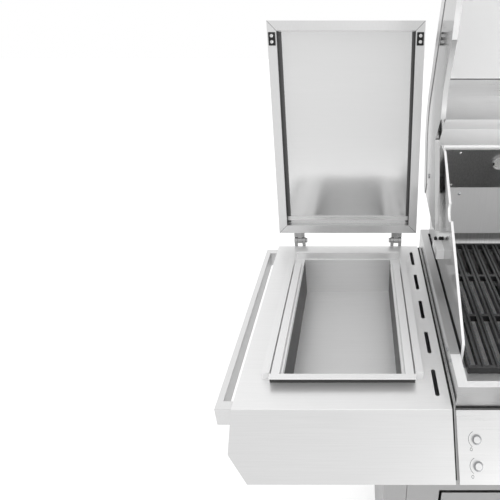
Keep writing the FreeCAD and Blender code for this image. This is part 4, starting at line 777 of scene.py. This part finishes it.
def knob_marks(marks, knob):
    """Pointer line on a knob, and the arc, tick, large flame and small flame printed round it."""
    radius = 44
    grip = seat(face(knob, FASCIA_OUT), FASCIA_OUT)
    fitting(f"{knob}_pointer", slab(1.8, 13, 0.25), RUBBER, knob, [grip @ shift(0, 14, -0.1)])
    low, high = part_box(knob)
    bezel = face("control_bezels", FASCIA_OUT, (low + high) / 2, 70)
    middle = Vector(((low.x + high.x) / 2, bezel.y, bezel.z))
    panel = seat(middle, FASCIA_OUT) @ shift(0, 0, -TRIM_TALL)
    join(marks, stroke(arc(radius, 210, -30, steps=30), wide=0.8), [panel])
    join(marks, stroke([(0, 40.5), (0, 46)], wide=1.2), [panel])
    for x, scale in ((-radius, 1.4), (radius, 0.8)):
        join(marks, stroke(FLAME, wide=0.6), [panel @ shift(x, -27) @ Matrix.Scale(scale, 4)])


def button_marks(marks, button):
    """Arc beside a push button, its flame or lamp, and a grey ring of painted shade round its cap."""
    panel = seat(face(button, FASCIA_OUT), FASCIA_OUT) @ shift(0, 0, -TRIM_TALL)
    join(marks, stroke(arc(14.5, 115, 235), wide=0.7), [panel])
    icon = panel @ shift(-10.5, -17)
    if button == "igniter_button":
        join(marks, stroke(FLAME, wide=0.7), [icon])
    else:
        join(marks, stroke(arc(2.2, -60, 240, steps=12), wide=0.6), [icon])
        join(marks, stroke([(-1.0, -2.6), (1.0, -2.6)], wide=0.6), [icon])
    # painted shade: grey ring for the shaded gap round the cap
    ring = turned([(6.25, 2.9), (6.25, 3.5), (6.7, 3.8), (8.2, 3.6), (8.6, 2.9), (6.25, 2.9)], steps=40)
    fitting(f"{button}_ring", ring, SHADE_RING, "grill", [panel])


def control_marks():
    """Everything printed on the control panel."""
    marks = bmesh.new()
    for knob in KNOBS:
        knob_marks(marks, knob)
    for button in ("igniter_button", "light_button"):
        button_marks(marks, button)
    fitting("control_panel_marks", marks, INK, "grill", [Matrix()])


# half outlines of the casters' turned parts, as (radius, place along the axle or height)
TYRE = [(33, -15), (43, -16), (47.5, -13.5), (49.6, -9), (50, -3), (50, 3), (49.6, 9), (47.5, 13.5),
        (43, 16), (33, 15), (33, -15)]
HUB_OUTLINE = [(5.5, -16), (11, -16), (13, -12), (19, -8), (28, -8), (30.5, -14), (33.2, -14.5),
               (33.2, 14.5), (30.5, 14), (28, 8), (19, 8), (13, 12), (11, 16), (5.5, 16), (5.5, -16)]
RACE_COVER = [(27, 112.6), (30, 113), (31.5, 117), (31.5, 122.8), (27, 122.8), (27, 112.6)]
CROWN_RADIUS = 26 * MM


def casters():
    """Rubber tyres on moulded hubs, axle nuts, and pressed covers over the swivel races."""
    nut_radius, nut_tall, nut_offset = 8 * MM, 5 * MM, 23.4
    for caster in CASTERS:
        low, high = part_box(f"{caster}_caster_wheel")
        axle = seat((low + high) / 2, (1, 0, 0), (0, 1, 0))
        wheel = f"{caster}_wheel"
        tyre = fitting(f"{caster}_tyre", turned(TYRE, steps=56), TREAD, wheel, [axle])
        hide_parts(f"{caster}_caster_wheel")
        fitting(f"{caster}_hub", turned(HUB_OUTLINE, steps=40), HUB, wheel, [axle])
        nut = bmesh.new()
        bmesh.ops.create_cone(nut, cap_ends=True, segments=6, radius1=nut_radius, radius2=nut_radius,
                              depth=nut_tall)
        spots = [axle @ shift(0, 0, nut_offset * side) for side in SIDES.values()]
        fitting(f"{caster}_axle_nuts", nut, ZINC, f"{caster}_fork", spots, bevel=0.8)
        fork_low, fork_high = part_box(f"{caster}_caster_fork")
        stem = ((fork_low.x + fork_high.x) / 2, fork_low.y + CROWN_RADIUS, 0)
        fitting(f"{caster}_race_cover", turned(RACE_COVER, steps=40), ZINC, "grill",
                [Matrix.Translation(stem)])


lamps()
hinge_straps()
bumper_screws()
firebox_screws()
hood_feet()
tray_guards()
thermometer_face()
control_marks()
casters()


# ------------------------------------------------------------------ stage, light and camera

FLOOR_REACH = 10  # metres from the middle to each side
# share of white that the floor adds to its own for the camera, and for mirrors and glass
SEEN_GLOW, MIRRORED_GLOW = 0.45, 0.12


def floor_material():
    """Matte white studio floor that the camera and the reflections see a little lighter."""
    material, tree, output, coords = new_material("white_studio_floor")
    cloud = add(tree, "ShaderNodeTexNoise", None, {"Vector": coords}, Scale=2.0).outputs["Fac"]
    tone = add(tree, "ShaderNodeValToRGB", None, {"Fac": cloud},
               ((0.3, grey(0.82)), (0.7, grey(0.84)))).outputs["Color"]
    matte = add(tree, "ShaderNodeBsdfDiffuse", None, {"Color": tone})
    path = add(tree, "ShaderNodeLightPath")
    mirrored = add(tree, "ShaderNodeMath", {"operation": "MAXIMUM"},
                   {0: path.outputs["Is Glossy Ray"], 1: path.outputs["Is Transmission Ray"]})
    soft = add(tree, "ShaderNodeMath", {"operation": "MULTIPLY"},
               {0: mirrored.outputs[0], 1: MIRRORED_GLOW})
    seen = add(tree, "ShaderNodeMath", {"operation": "MULTIPLY_ADD"},
               {0: path.outputs["Is Camera Ray"], 1: SEEN_GLOW, 2: soft.outputs[0]})
    glow = add(tree, "ShaderNodeEmission", None, {"Strength": seen.outputs[0]})
    both = add(tree, "ShaderNodeAddShader", None, {0: matte.outputs[0], 1: glow.outputs[0]})
    tree.links.new(both.outputs[0], output.inputs["Surface"])
    return material


def studio_floor():
    """Plain floor under the casters."""
    bm = bmesh.new()
    bmesh.ops.create_grid(bm, x_segments=1, y_segments=1, size=FLOOR_REACH)
    floor = bpy.data.objects.new("floor", mesh_of("floor", bm))
    bpy.context.scene.collection.objects.link(floor)
    floor.data.materials.append(floor_material())


def studio_world():
    """Soft white surround: white to the camera, brighter high up behind the grill in reflections."""
    world = bpy.data.worlds.new("studio")
    bpy.context.scene.world = world
    world.use_nodes = True
    tree = world.node_tree
    tree.nodes.clear()
    output = tree.nodes.new("ShaderNodeOutputWorld")
    coords = add(tree, "ShaderNodeTexCoord").outputs["Generated"]
    parts = add(tree, "ShaderNodeSeparateXYZ", None, {"Vector": coords})
    behind = add(tree, "ShaderNodeMath", {"operation": "MULTIPLY"},
                 {0: parts.outputs["Y"], 1: parts.outputs["Z"]})
    tone = add(tree, "ShaderNodeValToRGB", None, {"Fac": behind.outputs[0]},
               ((0.0, grey(0.82)), (0.5, grey(1.0)))).outputs["Color"]
    light = add(tree, "ShaderNodeBackground", None, {"Color": tone}, Strength=1.05)
    white = add(tree, "ShaderNodeBackground", Color=grey(1.0), Strength=1.0)
    path = add(tree, "ShaderNodeLightPath")
    both = add(tree, "ShaderNodeMixShader", None,
               {0: path.outputs["Is Camera Ray"], 1: light.outputs[0], 2: white.outputs[0]})
    tree.links.new(both.outputs[0], output.inputs["Surface"])


def area_light(name, place, target, size, power):
    """Rectangular lamp of a size in metres and a power in watts, turned to its target."""
    lamp = bpy.data.lights.new(name, "AREA")
    lamp.shape, lamp.energy = "RECTANGLE", power
    lamp.size, lamp.size_y = size
    holder = bpy.data.objects.new(name, lamp)
    bpy.context.scene.collection.objects.link(holder)
    holder.location = place
    holder.rotation_euler = (Vector(target) - Vector(place)).to_track_quat("-Z", "Y").to_euler()
    return holder


studio_floor()
studio_world()
area_light("front_softbox", place=(2.4, -3.0, 1.5), target=(0.0, 0.2, 1.2), size=(4.4, 2.6), power=60)
low_fill = area_light("low_fill", place=(0.3, -3.6, 0.45), target=(0.0, 0.3, 1.5), size=(3.6, 0.7),
                      power=18)
# the low lamp would otherwise show as a bright bar in the leaning lid
low_fill.visible_glossy = False

lens = bpy.data.cameras.new("camera")
lens.lens, lens.sensor_width = 34.07, 36.0
lens.shift_x, lens.shift_y = -0.218, -0.0254
lens.clip_start, lens.clip_end = 0.05, 60.0
camera = bpy.data.objects.new("camera", lens)
bpy.context.scene.collection.objects.link(camera)
camera.location = (-0.6348, -0.9168, 1.6127)
camera.rotation_euler = (math.radians(61.0), 0.0, 0.0)
bpy.context.scene.camera = camera

bpy.context.scene.view_settings.view_transform = "Standard"
